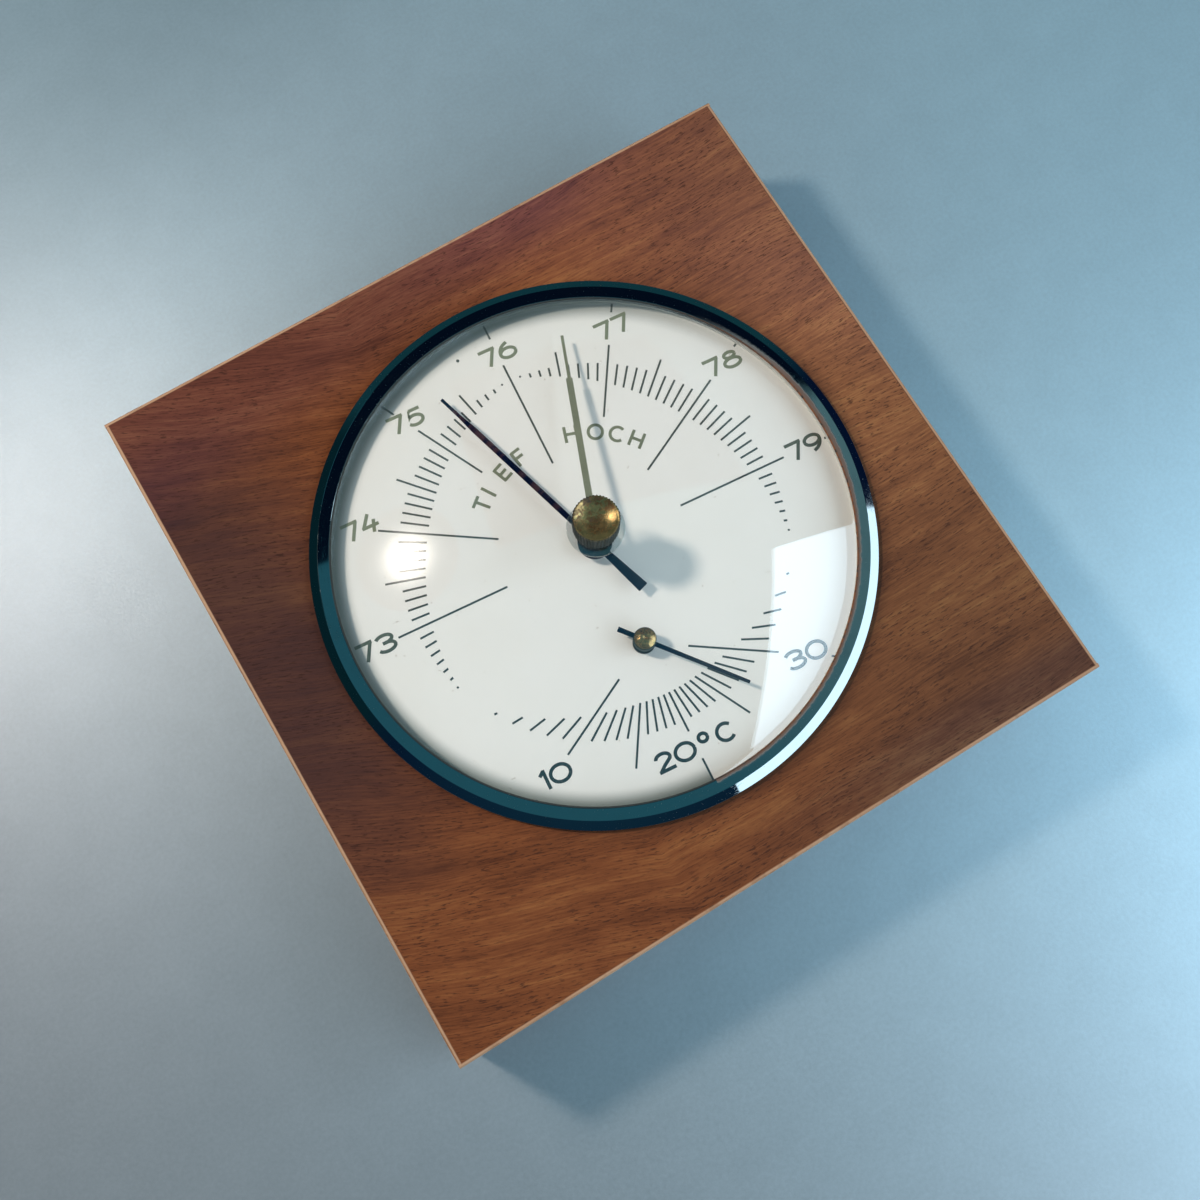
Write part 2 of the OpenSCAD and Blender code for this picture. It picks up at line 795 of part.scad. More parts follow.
module main_lever() {
    rivet_r = 1.3;
    color("darkgoldenrod") instrument() translate([0, capsule_y, leaf_z + leaf_t]) {
        translate([lever_start_x, -lever_w / 2, 0])
            cube([link_x - lever_start_x + link_w / 2, lever_w, lever_t]);
        for (x = [lever_start_x + 1.6, leaf_end_x - 1.6])
            translate([x, 0, lever_t]) cylinder(r1 = rivet_r, r2 = rivet_r * 0.7, h = 0.4, $fn = 24);
    }
}

module lever_link() {
    side_y = capsule_y + lever_w / 2;
    top = leaf_z + leaf_t + lever_t;
    color("goldenrod") instrument() difference() {
        union() {
            translate([link_x - link_w / 2, side_y, rocker_z]) cube([link_w, link_t, top - rocker_z]);
            translate([link_x, side_y, rocker_z]) rod_y(link_w / 2, link_t);
        }
        translate([link_x, side_y - cut, rocker_z]) rod_y(crank_pin_r + link_eye_gap, link_t + 2 * cut);
    }
}

// Rocking shaft and chain

module rocker_bracket() {
    span = ear_high_y + ear_t - ear_low_y;
    color("darkgoldenrod") instrument() translate([rocker_x, 0, 0]) difference() {
        union() {
            translate([-ear_w / 2, ear_low_y, base_top_z]) cube([ear_w, span, ear_t]);
            for (y = [ear_low_y, ear_high_y]) {
                translate([-ear_w / 2, y, base_top_z]) cube([ear_w, ear_t, rocker_z - base_top_z]);
                translate([0, y, rocker_z]) rod_y(ear_w / 2, ear_t);
            }
        }
        translate([0, ear_low_y - cut, rocker_z]) rod_y(pivot_r + run_gap, span + 2 * cut);
    }
}

module rocking_shaft() {
    low = ear_low_y + ear_t + shaft_play;
    high = ear_high_y - shaft_play;
    color("silver") instrument() translate([rocker_x, 0, rocker_z]) {
        translate([0, low, 0]) rod_y(rocker_r, high - low);
        translate([0, ear_low_y, 0]) rod_y(pivot_r, ear_high_y + ear_t - ear_low_y);
        translate([0, -chain_pitch_r - 0.8, 0]) rod_y(1.6, 1.6);
        translate([0, -chain_pitch_r, 0]) cylinder(r = chain_arm_r, h = chain_arm + chain_h);
        translate([0, short_arm_y, 0]) rod_y(1.6, short_arm_t);
        translate([-short_arm, short_arm_y, -0.8]) cube([short_arm, short_arm_t, 1.6]);
        translate([-short_arm, short_arm_y, 0]) rod_y(0.8, short_arm_t);
        translate([-short_arm, short_arm_y, 0])
            rod_y(crank_pin_r, capsule_y + lever_w / 2 + link_t + 0.3 - short_arm_y);
    }
}

// One chain link along +X, flat or upright in turn
module chain_link(i) {
    h = i % 2 == 0 ? chain_h : chain_h * 0.55;
    r = i % 2 == 0 ? chain_w / 2 : chain_w * 0.38;
    translate([0, 0, -h / 2]) {
        cylinder(r = r, h = h, $fn = 16);
        translate([link_pitch, 0, 0]) cylinder(r = r, h = h, $fn = 16);
        translate([0, -r, 0]) cube([link_pitch, 2 * r, h]);
    }
}

// Straight run of the chain, from the drum to the upright arm of the rocking shaft
module drive_chain() {
    run = rocker_x - chain_arm_r - chain_hook_gap - chain_w / 2;
    count = floor(run / link_pitch);
    color("dimgray") instrument() translate([run, -chain_pitch_r, chain_z])
        for (i = [0:count - 1]) translate([-(i + 1) * link_pitch, 0, 0]) chain_link(i);
}

// The part of the chain that lies round the drum
module chain_wrap() {
    step = 2 * asin(link_pitch / 2 / chain_pitch_r);
    seam = asin((chain_w + chain_seam) / 2 / chain_pitch_r) * 2;
    color("dimgray") instrument() translate([0, 0, chain_z])
        for (i = [0:wrap_links - 1])
            rotate([0, 0, -90 - seam - step * i]) translate([chain_pitch_r, 0, 0])
                rotate([0, 0, -90 - step / 2]) chain_link(i);
}

// Hand arbor

module hand_arbor() {
    low_z = cock_top_z + arbor_play;
    high_z = top_z - arbor_play;
    color("lightsteelblue") instrument() {
        translate([0, 0, cock_z]) cylinder(r = pivot_r, h = low_z - cock_z + cut);
        translate([0, 0, low_z]) cylinder(r = arbor_body_r, h = high_z - low_z);
        translate([0, 0, spring_z - 0.2]) cylinder(r = collet_r, h = spring_h + 0.4);
        translate([0, 0, high_z - cut]) cylinder(r = arbor_r, h = hand_z + 1.2 - high_z + cut);
    }
}

module chain_drum() {
    sag = chain_pitch_r - sqrt(chain_pitch_r * chain_pitch_r - link_pitch * link_pitch / 4);
    drum_r = chain_pitch_r - sag - chain_w / 2 - fix_gap;
    color("goldenrod") instrument() translate([0, 0, chain_z - drum_h / 2]) difference() {
        union() {
            cylinder(r = drum_r, h = drum_h);
            translate([0, 0, -drum_flange_h]) cylinder(r = drum_r + drum_flange_w, h = drum_flange_h);
            translate([0, 0, drum_h]) cylinder(r = drum_r + drum_flange_w, h = drum_flange_h);
        }
        translate([0, 0, -drum_flange_h - cut])
            cylinder(r = arbor_body_r + fix_gap / 3, h = drum_h + 2 * (drum_flange_h + cut));
    }
}

module hairspring() {
    color("midnightblue") instrument() translate([0, 0, spring_z])
        spiral_strip(collet_r + spring_t / 2, spring_out_r, spring_turns, spring_t, spring_h);
}

module pressure_hand() {
    narrow = 5;
    taper = 4;
    tip_w = 0.6;
    slim_w = 1;
    root_w = 1.15;
    tail_w = 2.3;
    tail_root_w = 0.8;
    color("midnightblue") instrument() rotate([0, 0, -hand_angle]) difference() {
        union() {
            translate([0, 0, hand_z]) cylinder(r = hub_r, h = hand_t);
            translate([0, 0, dial_top_z + 0.5])
                cylinder(r = socket_r, h = hand_z + hand_t + 0.1 - dial_top_z);
            translate([0, 0, hand_z]) linear_extrude(hand_t) polygon([
                [-root_w / 2, 0],
                [-slim_w / 2, hand_len - narrow - taper],
                [-tip_w / 2, hand_len - narrow],
                [-tip_w / 2, hand_len],
                [tip_w / 2, hand_len],
                [tip_w / 2, hand_len - narrow],
                [slim_w / 2, hand_len - narrow - taper],
                [root_w / 2, 0],
                [tail_root_w / 2, 0],
                [tail_w / 2, -tail_len],
                [-tail_w / 2, -tail_len],
                [-tail_root_w / 2, 0]
            ]);
        }
        translate([0, 0, dial_top_z]) cylinder(r = arbor_r + fix_gap / 3, h = hand_z + 10 * hand_t - dial_top_z);
    }
}

module adjusting_screw() {
    tip_gap = 0.05;
    top = base_top_z - tip_gap;
    head_z = floor_z - 0.1 - adjuster_head_h;
    color("steelblue") instrument() translate([adjuster_x, capsule_y, head_z])
        screw(adjuster_head_r, adjuster_head_h, adjuster_r, top - head_z - adjuster_head_h);
}

// Thermometer

module at_thermometer() {
    instrument() translate([0, -thermo_y, 0]) children();
}

module at_thermometer_pillars() {
    for (a = [30, 150, 270]) rotate([0, 0, a]) translate([thermo_pillar_ring, 0, 0]) children();
}

module thermometer_plate() {
    color("darkgoldenrod") at_thermometer() translate([0, 0, thermo_plate_z])
        ring(thermo_plate_r, thermo_arbor_r + run_gap, plate_t);
}

module thermometer_pillars() {
    z = thermo_plate_z + plate_t;
    color("goldenrod") at_thermometer() at_thermometer_pillars()
        translate([0, 0, z]) cylinder(r = thermo_pillar_r, h = dial_z - z, $fn = 32);
}

module thermometer_bush() {
    color("darkslategray") at_thermometer() difference() {
        union() {
            translate([0, 0, dial_top_z]) cylinder(r = bush_flange_r, h = bush_flange_h);
            translate([0, 0, dial_z - bush_len + dial_t]) cylinder(r = bush_r, h = bush_len);
        }
        translate([0, 0, dial_z - bush_len])
            cylinder(r = thermo_arbor_r + run_gap, h = bush_len + dial_t + bush_flange_h + cut);
    }
}

module bimetal_stud() {
    x = bimetal_r + bimetal_t / 2 + stud_r + fix_gap;
    z = thermo_plate_z + plate_t;
    color("goldenrod") at_thermometer() translate([x, 0, z])
        cylinder(r = stud_r, h = bimetal_z + bimetal_h - z, $fn = 24);
}

module thermometer_arbor() {
    body_z = thermo_plate_z + plate_t + arbor_play;
    body_top = dial_z + dial_t - bush_len - arbor_play;
    color("silver") at_thermometer() {
        translate([0, 0, thermo_plate_z])
            cylinder(r = thermo_arbor_r, h = thermo_hand_z + cap_high - thermo_plate_z);
        translate([0, 0, body_z]) cylinder(r = thermo_collet_r, h = body_top - body_z);
    }
}

module bimetal_spiral() {
    color("peru") at_thermometer() translate([0, 0, bimetal_z])
        spiral_strip(thermo_collet_r + bimetal_t / 2, bimetal_r, bimetal_turns, bimetal_t, bimetal_h);
}

module thermometer_hand() {
    tip_w = 0.7;
    root_w = 0.9;
    tail_w = 1;
    low = thermo_hand_z - cap_low;
    high = thermo_hand_z + cap_high;
    color("midnightblue") at_thermometer() rotate([0, 0, thermo_angle]) difference() {
        union() {
            translate([0, 0, low]) cylinder(r = cap_r, h = high - low);
            translate([0, 0, thermo_hand_z]) linear_extrude(hand_t) polygon([
                [-tail_w / 2, thermo_tail],
                [-root_w / 2, 0],
                [-tip_w / 2, -thermo_len],
                [tip_w / 2, -thermo_len],
                [root_w / 2, 0],
                [tail_w / 2, thermo_tail]
            ]);
        }
        translate([0, 0, low - cut]) cylinder(r = thermo_arbor_r + fix_gap / 3, h = high - low + 2 * cut);
    }
}

module thermometer_cap() {
    r = cap_r - cap_rim;
    sphere_r = (r * r + cap_dome_h * cap_dome_h) / (2 * cap_dome_h);
    color("goldenrod") at_thermometer() translate([0, 0, thermo_hand_z + cap_high])
        rotate_extrude() polygon(concat(
            [[0, 0]],
            arc([0, cap_dome_h - sphere_r], sphere_r, 90 - asin(r / sphere_r), 90, 8)
        ));
}

core_block();
front_veneer();
edge_strips();
hanger_plate();
hanger_screws();
case_can();
can_clips();
clip_screws();
bezel_ring();
domed_glass();
glass_seal();
spacer_ring();
dial_plate();
dial_feet();
glass_bush();
set_knob();
set_spindle();
set_hand();
base_plate();
base_screws();
frame_pillars();
top_plate();
top_screws();
arbor_cock();
hairspring_stud();
capsule_foot();
capsule_lower();
capsule_upper();
capsule_post();
spring_stand();
clamp_plate();
clamp_screws();
leaf_spring();
main_lever();
lever_link();
rocker_bracket();
rocking_shaft();
drive_chain();
chain_wrap();
hand_arbor();
chain_drum();
hairspring();
pressure_hand();
adjusting_screw();
thermometer_plate();
thermometer_pillars();
thermometer_bush();
bimetal_stud();
thermometer_arbor();
bimetal_spiral();
thermometer_hand();
thermometer_cap();
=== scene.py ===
"""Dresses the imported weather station: veneered block, glazed case, hands, printed dial, thermometer and studio."""

import logging
import math
from dataclasses import dataclass
from enum import Enum
from typing import Any, ClassVar, Sequence

import bmesh
import bpy
from mathutils import Matrix, Vector


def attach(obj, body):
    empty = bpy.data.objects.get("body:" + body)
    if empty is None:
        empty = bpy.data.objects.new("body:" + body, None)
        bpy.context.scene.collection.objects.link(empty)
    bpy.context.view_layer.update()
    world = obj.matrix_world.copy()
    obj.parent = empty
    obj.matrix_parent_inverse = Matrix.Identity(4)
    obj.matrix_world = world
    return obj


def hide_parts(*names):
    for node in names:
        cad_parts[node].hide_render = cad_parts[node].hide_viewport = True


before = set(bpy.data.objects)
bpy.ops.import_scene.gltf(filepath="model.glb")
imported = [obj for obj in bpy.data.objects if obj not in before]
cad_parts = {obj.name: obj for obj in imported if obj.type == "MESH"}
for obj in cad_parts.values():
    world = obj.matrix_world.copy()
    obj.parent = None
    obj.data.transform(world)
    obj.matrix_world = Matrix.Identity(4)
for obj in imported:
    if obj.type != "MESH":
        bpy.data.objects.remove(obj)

LOG = logging.getLogger("weather_station")
MM = 0.001
DIAL_TURN = math.radians(-5.0)
SMALL_STEPS = 96

Point = tuple[float, float]
Triple = tuple[float, float, float]
Stroke = list[Point]


# Shader expressions


class Value:
    """A shader socket that takes part in Python expressions; each operator adds the node for it."""

    def __init__(self, nodes: "Nodes", socket: bpy.types.NodeSocket) -> None:
        """Wraps one output socket."""
        self.nodes = nodes
        self.socket = socket

    @property
    def wide(self) -> bool:
        """Says whether the socket carries a vector or a colour."""
        return self.socket.type in {"VECTOR", "RGBA"}

    def __add__(self, other: "Operand") -> "Value":
        """Adds two operands."""
        return self.nodes.combine("ADD", self, other)

    def __radd__(self, other: "Operand") -> "Value":
        """Adds two operands."""
        return self.nodes.combine("ADD", other, self)

    def __sub__(self, other: "Operand") -> "Value":
        """Takes the other operand away."""
        return self.nodes.combine("SUBTRACT", self, other)

    def __rsub__(self, other: "Operand") -> "Value":
        """Takes this socket away from the other operand."""
        return self.nodes.combine("SUBTRACT", other, self)

    def __mul__(self, other: "Operand") -> "Value":
        """Multiplies two operands."""
        return self.nodes.combine("MULTIPLY", self, other)

    def __rmul__(self, other: "Operand") -> "Value":
        """Multiplies two operands."""
        return self.nodes.combine("MULTIPLY", other, self)

    def __truediv__(self, other: "Operand") -> "Value":
        """Divides by the other operand."""
        return self.nodes.combine("DIVIDE", self, other)

    def __pow__(self, other: "Operand") -> "Value":
        """Raises this socket to a power."""
        return self.nodes.combine("POWER", self, other)

    def absolute(self) -> "Value":
        """Drops the sign."""
        return self.nodes.add("ShaderNodeMath", {"operation": "ABSOLUTE"}, {0: self})

    def larger(self, other: "Operand") -> "Value":
        """Keeps the larger operand."""
        return self.nodes.combine("MAXIMUM", self, other)

    def step(self, low: float, high: float) -> "Value":
        """Rises smoothly from 0 at low to 1 at high.

        Args:
            low: value that gives 0.
            high: value that gives 1; below low it makes the step fall.

        Returns:
            The smooth step.
        """
        ends = (low, high, 0.0, 1.0) if low < high else (high, low, 1.0, 0.0)
        inputs = {"Value": self, "From Min": ends[0], "From Max": ends[1], "To Min": ends[2], "To Max": ends[3]}
        return self.nodes.add("ShaderNodeMapRange", {"interpolation_type": "SMOOTHSTEP"}, inputs)

    def band(self, low: float, high: float, soft: float) -> "Value":
        """Is 1 between low and high and fades to 0 outside them."""
        return self.step(low - soft, low + soft) * self.step(high + soft, high - soft)

    def ramp(self, *stops: tuple[float, Triple]) -> "Value":
        """Turns this socket into a colour by a ramp's stops."""
        return self.nodes.add("ShaderNodeValToRGB", {"stops": stops}, {"Fac": self})


Operand = Value | float | Triple


class Nodes:
    """Adds nodes to one tree."""

    def __init__(self, tree: bpy.types.NodeTree) -> None:
        """Takes the tree that the nodes go in."""
        self.tree = tree

    def add(
        self, kind: str, settings: dict[str, Any] | None = None,
        inputs: dict[str | int, Any] | None = None, output: str | int = 0,
    ) -> "Value | None":
        """Adds one node of any type.

        Args:
            kind: the node's type.
            settings: properties set before its sockets; "stops" gives a colour ramp's stops.
            inputs: a constant or a Value for each named or numbered socket.
            output: the socket that is returned.

        Returns:
            The chosen output socket; none for a node that has no outputs.
        """
        node = self.tree.nodes.new(kind)
        for key, value in (settings or {}).items():
            if key == "stops":
                self._stops(node.color_ramp, value)
            else:
                setattr(node, key, value)
        for key, value in (inputs or {}).items():
            socket = node.inputs[key]
            if isinstance(value, Value):
                self.tree.links.new(value.socket, socket)
            elif socket.type == "RGBA" and len(value) == 3:
                socket.default_value = (*value, 1.0)
            else:
                socket.default_value = value
        return Value(self, node.outputs[output]) if node.outputs else None

    @staticmethod
    def _stops(ramp: bpy.types.ColorRamp, stops: Sequence[tuple[float, Triple]]) -> None:
        """Sets the stops of a colour ramp.

        Args:
            ramp: the ramp of a new node.
            stops: the place and colour of each stop.
        """
        while len(ramp.elements) < len(stops):
            ramp.elements.new(0.5)
        for element, (place, colour) in zip(ramp.elements, sorted(stops)):
            element.position = place
            element.color = (*colour, 1.0)

    def combine(self, operation: str, left: Operand, right: Operand) -> Value:
        """Adds the Math or Vector Math node for two operands.

        Args:
            operation: the operation of the node.
            left: first operand.
            right: second operand.

        Returns:
            The result's socket.
        """
        broad = [isinstance(side, tuple) or (isinstance(side, Value) and side.wide) for side in (left, right)]
        if not any(broad):
            return self.add("ShaderNodeMath", {"operation": operation}, {0: left, 1: right})
        if operation == "MULTIPLY" and not all(broad):
            vector, number = (left, right) if broad[0] else (right, left)
            return self.add("ShaderNodeVectorMath", {"operation": "SCALE"}, {0: vector, "Scale": number})
        return self.add("ShaderNodeVectorMath", {"operation": operation}, {0: left, 1: right})

    def coords(self, output: str = "Object") -> Value:
        """Gives the object coordinates, which are metres in the part's frame."""
        return self.add("ShaderNodeTexCoord", output=output)

    def place(self, centre: Triple = (0.0, 0.0, 0.0), turn: float = 0.0, size: Triple = (1.0, 1.0, 1.0)) -> Value:
        """Gives coordinates about a centre.

        Args:
            centre: the new origin, in millimetres.
            turn: turn of the axes about Z, in radians.
            size: millimetres for one unit along each axis.

        Returns:
            The coordinates.
        """
        inputs = {
            "Vector": self.coords(), "Location": tuple(c * MM for c in centre),
            "Rotation": (0.0, 0.0, turn), "Scale": tuple(s * MM for s in size),
        }
        return self.add("ShaderNodeMapping", {"vector_type": "TEXTURE"}, inputs)

    def split(self, vector: Value) -> tuple[Value, Value, Value]:
        """Splits a vector into its three numbers."""
        node = self.add("ShaderNodeSeparateXYZ", {}, {0: vector}).socket.node
        return tuple(Value(self, socket) for socket in node.outputs)

    def join(self, x: Operand, y: Operand, z: Operand = 0.0) -> Value:
        """Makes a vector of three numbers."""
        return self.add("ShaderNodeCombineXYZ", {}, {0: x, 1: y, 2: z})

    def noise(self, vector: Value, scale: float, detail: float = 2.0, rough: float = 0.5, warp: float = 0.0) -> Value:
        """Adds a noise texture and gives its height."""
        inputs = {"Vector": vector, "Scale": scale, "Detail": detail, "Roughness": rough, "Distortion": warp}
        return self.add("ShaderNodeTexNoise", {}, inputs)

    def polar(self, vector: Value) -> tuple[Value, Value]:
        """Turns flat coordinates into a distance and an angle.

        Args:
            vector: coordinates about the centre.

        Returns:
            The distance, and the angle in degrees, clockwise from +Y, from -180 to 180.
        """
        x, y, _ = self.split(vector)
        distance = self.add("ShaderNodeVectorMath", {"operation": "LENGTH"}, {0: self.join(x, y)}, "Value")
        return distance, self.combine("ARCTAN2", x, y) * math.degrees(1.0)

    def mix(self, share: Operand, first: Operand, second: Operand) -> Value:
        """Mixes two colours, the second by its share."""
        return self.add("ShaderNodeMix", {"data_type": "RGBA"}, {0: share, 6: first, 7: second}, 2)

    def bump(self, height: Value, depth: float, strength: float = 1.0) -> Value:
        """Turns a height into a normal; the depth is in millimetres."""
        return self.add("ShaderNodeBump", {}, {"Height": height, "Distance": depth * MM, "Strength": strength})

    def surface(self, sockets: dict[str, Any]) -> None:
        """Adds the Principled shader with these sockets, and the output."""
        shader = self.add("ShaderNodeBsdfPrincipled", {}, sockets)
        self.add("ShaderNodeOutputMaterial", {}, {"Surface": shader})


# Finishes


@dataclass(frozen=True)
class Finish:
    """A surface finish, made into one material on its first use."""

    name: str
    made: ClassVar[dict[str, bpy.types.Material]] = {}

    def material(self) -> bpy.types.Material:
        """Returns the material of this finish."""
        if self.name not in Finish.made:
            material = bpy.data.materials.new(self.name)
            material.use_nodes = True
            material.node_tree.nodes.clear()
            self.wire(Nodes(material.node_tree))
            Finish.made[self.name] = material
        return Finish.made[self.name]

    def wire(self, n: Nodes) -> None:
        """Adds the nodes of the finish."""
        raise NotImplementedError

    def dress(self, *names: str) -> None:
        """Puts the finish on carried-over nodes.

        Args:
            names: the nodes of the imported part.
        """
        for name in names:
            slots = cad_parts[name].data.materials
            slots.clear()
            slots.append(self.material())


class Grain(Enum):
    """Which way the grain of a wooden piece runs."""

    ACROSS_PANEL = "x"
    ROUND_EDGE = "edge"


@dataclass(frozen=True)
class Veneer(Finish):
    """Open-pored red-brown veneer with a satin oil finish."""

    grain: Grain
    pore: Triple = (0.030, 0.013, 0.010)
    dark: Triple = (0.088, 0.028, 0.013)
    middle: Triple = (0.183, 0.059, 0.0225)
    light: Triple = (0.300, 0.117, 0.040)
    arris: Triple = (0.60, 0.43, 0.30)

    def wire(self, n: Nodes) -> None:
        """Adds soft streaks and short dark pores along a wavy grain, and a pale worn edge round the front.

        Args:
            n: the material's nodes.
        """
        x, y, z = n.split(n.place())
        along, across = x, y
        if self.grain is Grain.ROUND_EDGE:
            nx, _, nz = n.split(n.coords("Normal"))
            side = nx.absolute().step(0.6, 0.8)
            along = x * (1.0 - side) + y * side
            across = z + 31.0 * side
        flat = n.join(along, across, 0.0)
        wave = n.noise(flat * (0.010, 0.020, 1.0), 1.0, 2.0)
        lean = (-20.0 - x).larger(0.0) * (-0.06 if self.grain is Grain.ROUND_EDGE else -0.42)
        drift = across + lean + (wave - 0.5) * 13.0
        figure = n.noise(n.join(along * 0.014, drift * 0.055), 1.0, 3.0, 0.55)
        streak = n.noise(n.join(along * 0.028, drift * 0.42), 1.0, 4.0, 0.6)
        hair = n.noise(n.join(along * 0.16, drift * 2.6), 1.0, 3.0, 0.6)
        mottle = n.noise(flat * (0.16, 0.22, 1.0), 1.0, 3.0, 0.6)
        thick = n.noise(n.join(along * 0.05, drift * 0.12), 1.0, 2.0).step(0.30, 0.62)
        dash = n.noise(n.join(along * 0.50, drift * 2.9), 1.0, 2.0, 0.6).step(0.555, 0.64) * (0.35 + 0.65 * thick)
        tone = figure * 0.38 + streak * 0.24 + hair * 0.29 + mottle * 0.09
        wood = tone.ramp((0.38, self.dark), (0.51, self.middle), (0.65, self.light))
        wood = n.mix(dash * 0.66, self._tones(n, wood, x, y, figure), self.pore)
        rough = 0.40 + 0.14 * streak + 0.12 * dash
        if self.grain is Grain.ROUND_EDGE:
            worn = n.noise(flat * (0.35, 0.8, 1.0), 1.0, 3.0).step(0.35, 0.5)
            front = nz.step(0.3, 0.6) * x.absolute().larger(y.absolute()).step(69.2, 69.5) * (0.7 + 0.3 * worn)
            wood = n.mix(front, wood, n.mix(streak, self.arris, self.light))
        relief = hair * 0.35 + streak * 0.2 - dash * 0.8
        n.surface({
            "Base Color": wood, "Roughness": rough, "Normal": n.bump(relief, 0.05, 0.5), "Specular IOR Level": 0.12,
        })

    def _tones(self, n: Nodes, wood: Value, x: Value, y: Value, figure: Value) -> Value:
        """Lays broad tones over the grain.

        The wood is gloomy at the left, duller along the top and the foot, greener and bluer towards the right,
        with a bright spot there, brightest at the upper right corner, and darker along the lower right of the ring,
        where a painted shadow of the ring lies mixed with dirt.

        Args:
            n: the material's nodes.
            wood: the colour of the grain.
            x: place across the panel, in millimetres.
            y: place up the panel.
            figure: the broadest streaks, which fray the gloom.

        Returns:
            The toned colour.
        """
        oval, _ = n.polar(n.join(x + 68.0, (y - 13.0) * 0.6))
        gloom = (oval + (figure - 0.5) * 14.0).step(11.0, 40.0)
        wood = n.mix(gloom, wood * 0.27 + (0.020, 0.014, 0.018), wood)
        right = (x - 0.3 * y).step(-10.0, 70.0)
        wood = n.mix(right, wood, wood * (0.92, 1.14, 1.32))
        corner = (x * 0.9 + y).step(50.0, 95.0)
        wood = n.mix(corner, wood, wood * 1.25 + (0.004, 0.004, 0.012))
        upper = (y - x * 0.15).step(50.0, 66.0) * x.step(60.0, 25.0)
        wood = n.mix(upper, wood, wood * (0.72, 0.74, 1.25))
        spot, _ = n.polar(n.join(x - 62.0, (y - 3.0) * 0.6))
        wood = n.mix(spot.step(34.0, 6.0), wood, wood * 1.42)
        foot = y.step(-58.0, -65.0) * x.step(-20.0, 40.0)
        wood = n.mix(foot, wood, wood * (0.62, 0.66, 0.90))
        # Painted shadow of the ring, mixed with dirt: just outside the ring on its lower right, away from the key
        # lamp, the wood darkens halfway to the pore colour.
        reach, _ = n.polar(n.join(x, y))
        ring_shadow_and_dirt = ((x - y) / reach).step(-0.2, 0.9) * (1.0 - reach.step(54.8, 58.4))
        return n.mix(ring_shadow_and_dirt * 0.5, wood, self.pore)


@dataclass(frozen=True)
class ParticleBoard(Finish):
    """Raw board of pressed chips."""

    pale: Triple = (0.46, 0.32, 0.18)
    deep: Triple = (0.24, 0.145, 0.075)
    chip: Triple = (0.60, 0.45, 0.28)

    def wire(self, n: Nodes) -> None:
        """Adds chips of several tones that lie every way.

        Args:
            n: the material's nodes.
        """
        spot = n.place()
        bent = spot + n.add("ShaderNodeTexNoise", {}, {"Vector": spot, "Scale": 0.5, "Detail": 2.0}, "Color") * 3.0
        chip = n.add("ShaderNodeTexVoronoi", {}, {"Vector": bent * (0.45, 1.0, 0.8), "Scale": 1.0}, "Color")
        shade, other, _ = n.split(chip)
        fine = n.noise(spot, 2.2, 4.0, 0.7)
        tone = shade * 0.5 + other * 0.2 + fine * 0.35
        n.surface({
            "Base Color": tone.ramp((0.2, self.deep), (0.62, self.pale), (0.9, self.chip)),
            "Roughness": 0.8 + 0.1 * fine, "Normal": n.bump(tone, 0.12, 0.6),
        })


class Brush(Enum):
    """Direction of the fine lines on a metal surface."""

    NONE = "none"
    ROUND = "round"
    STRAIGHT = "straight"


@dataclass(frozen=True)
class Metal(Finish):
    """A bare or plated metal with fine lines and dull patches."""

    tint: Triple
    stain: Triple
    rough: float = 0.25
    stained: float = 0.35
    brush: Brush = Brush.STRAIGHT

    def wire(self, n: Nodes) -> None:
        """Adds lines along the brushing and stains that dull the metal.

        Args:
            n: the material's nodes.
        """
        spot = n.place(turn=DIAL_TURN)
        if self.brush is Brush.ROUND:
            distance, _ = n.polar(spot)
            lines = n.noise(n.join(distance * 6.0, 0.0), 1.0, 3.0, 0.7)
        elif self.brush is Brush.STRAIGHT:
            lines = n.noise(spot * (0.12, 5.0, 5.0), 1.0, 3.0, 0.7)
        else:
            lines = n.noise(spot, 4.0, 3.0, 0.7)
        patch = n.noise(spot, 0.22, 4.0, 0.6).step(0.42, 0.68)
        speck = n.noise(spot, 2.6, 2.0).step(0.62, 0.72)
        dull = patch * self.stained + speck * 0.25
        colour = n.mix(dull, n.mix(lines, self.tint, tuple(c * 0.82 for c in self.tint)), self.stain)
        n.surface({
            "Base Color": colour, "Metallic": 1.0 - 0.5 * dull,
            "Roughness": self.rough + 0.12 * lines + 0.3 * dull, "Normal": n.bump(lines, 0.01, 0.35),
        })


@dataclass(frozen=True)
class MirrorPlating(Finish):
    """Polished plating of the ring bezel, with smudges, pinholes and dirt at the glass."""

    tint: Triple = (0.34, 0.40, 0.41)
    smear: Triple = (0.26, 0.27, 0.27)
    dirt: Triple = (0.13, 0.055, 0.028)
    dirt_edge: float = 50.95

    def wire(self, n: Nodes) -> None:
        """Adds smudges and a ragged line of dirt along the glass.

        Args:
            n: the material's nodes.
        """
        spot = n.place(turn=DIAL_TURN)
        distance, angle = n.polar(spot)
        smudge = n.noise(spot, 0.14, 4.0, 0.65).step(0.45, 0.75)
        scratch = n.noise(n.join(angle * 0.35, distance * 5.0), 1.0, 2.0, 0.7).step(0.60, 0.72)
        speck = n.noise(spot, 3.2, 2.0).step(0.68, 0.74)
        edge = n.noise(spot, 0.9, 4.0, 0.7) * 0.8 - 0.40 + angle.band(68.0, 102.0, 12.0) * 0.35
        line = (distance - edge).step(self.dirt_edge + 0.5, self.dirt_edge - 0.1)
        share = angle.band(62.0, 205.0, 14.0) * line
        colour = n.mix(share * 0.85 + speck * 0.3, n.mix(smudge * 0.25, self.tint, self.smear), self.dirt)
        n.surface({
            "Base Color": colour, "Metallic": 1.0 - 0.85 * share,
            "Roughness": 0.035 + 0.09 * smudge + 0.06 * scratch + 0.5 * share + 0.3 * speck,
            "Normal": n.bump(scratch + smudge * 0.5, 0.004, 0.25),
        })


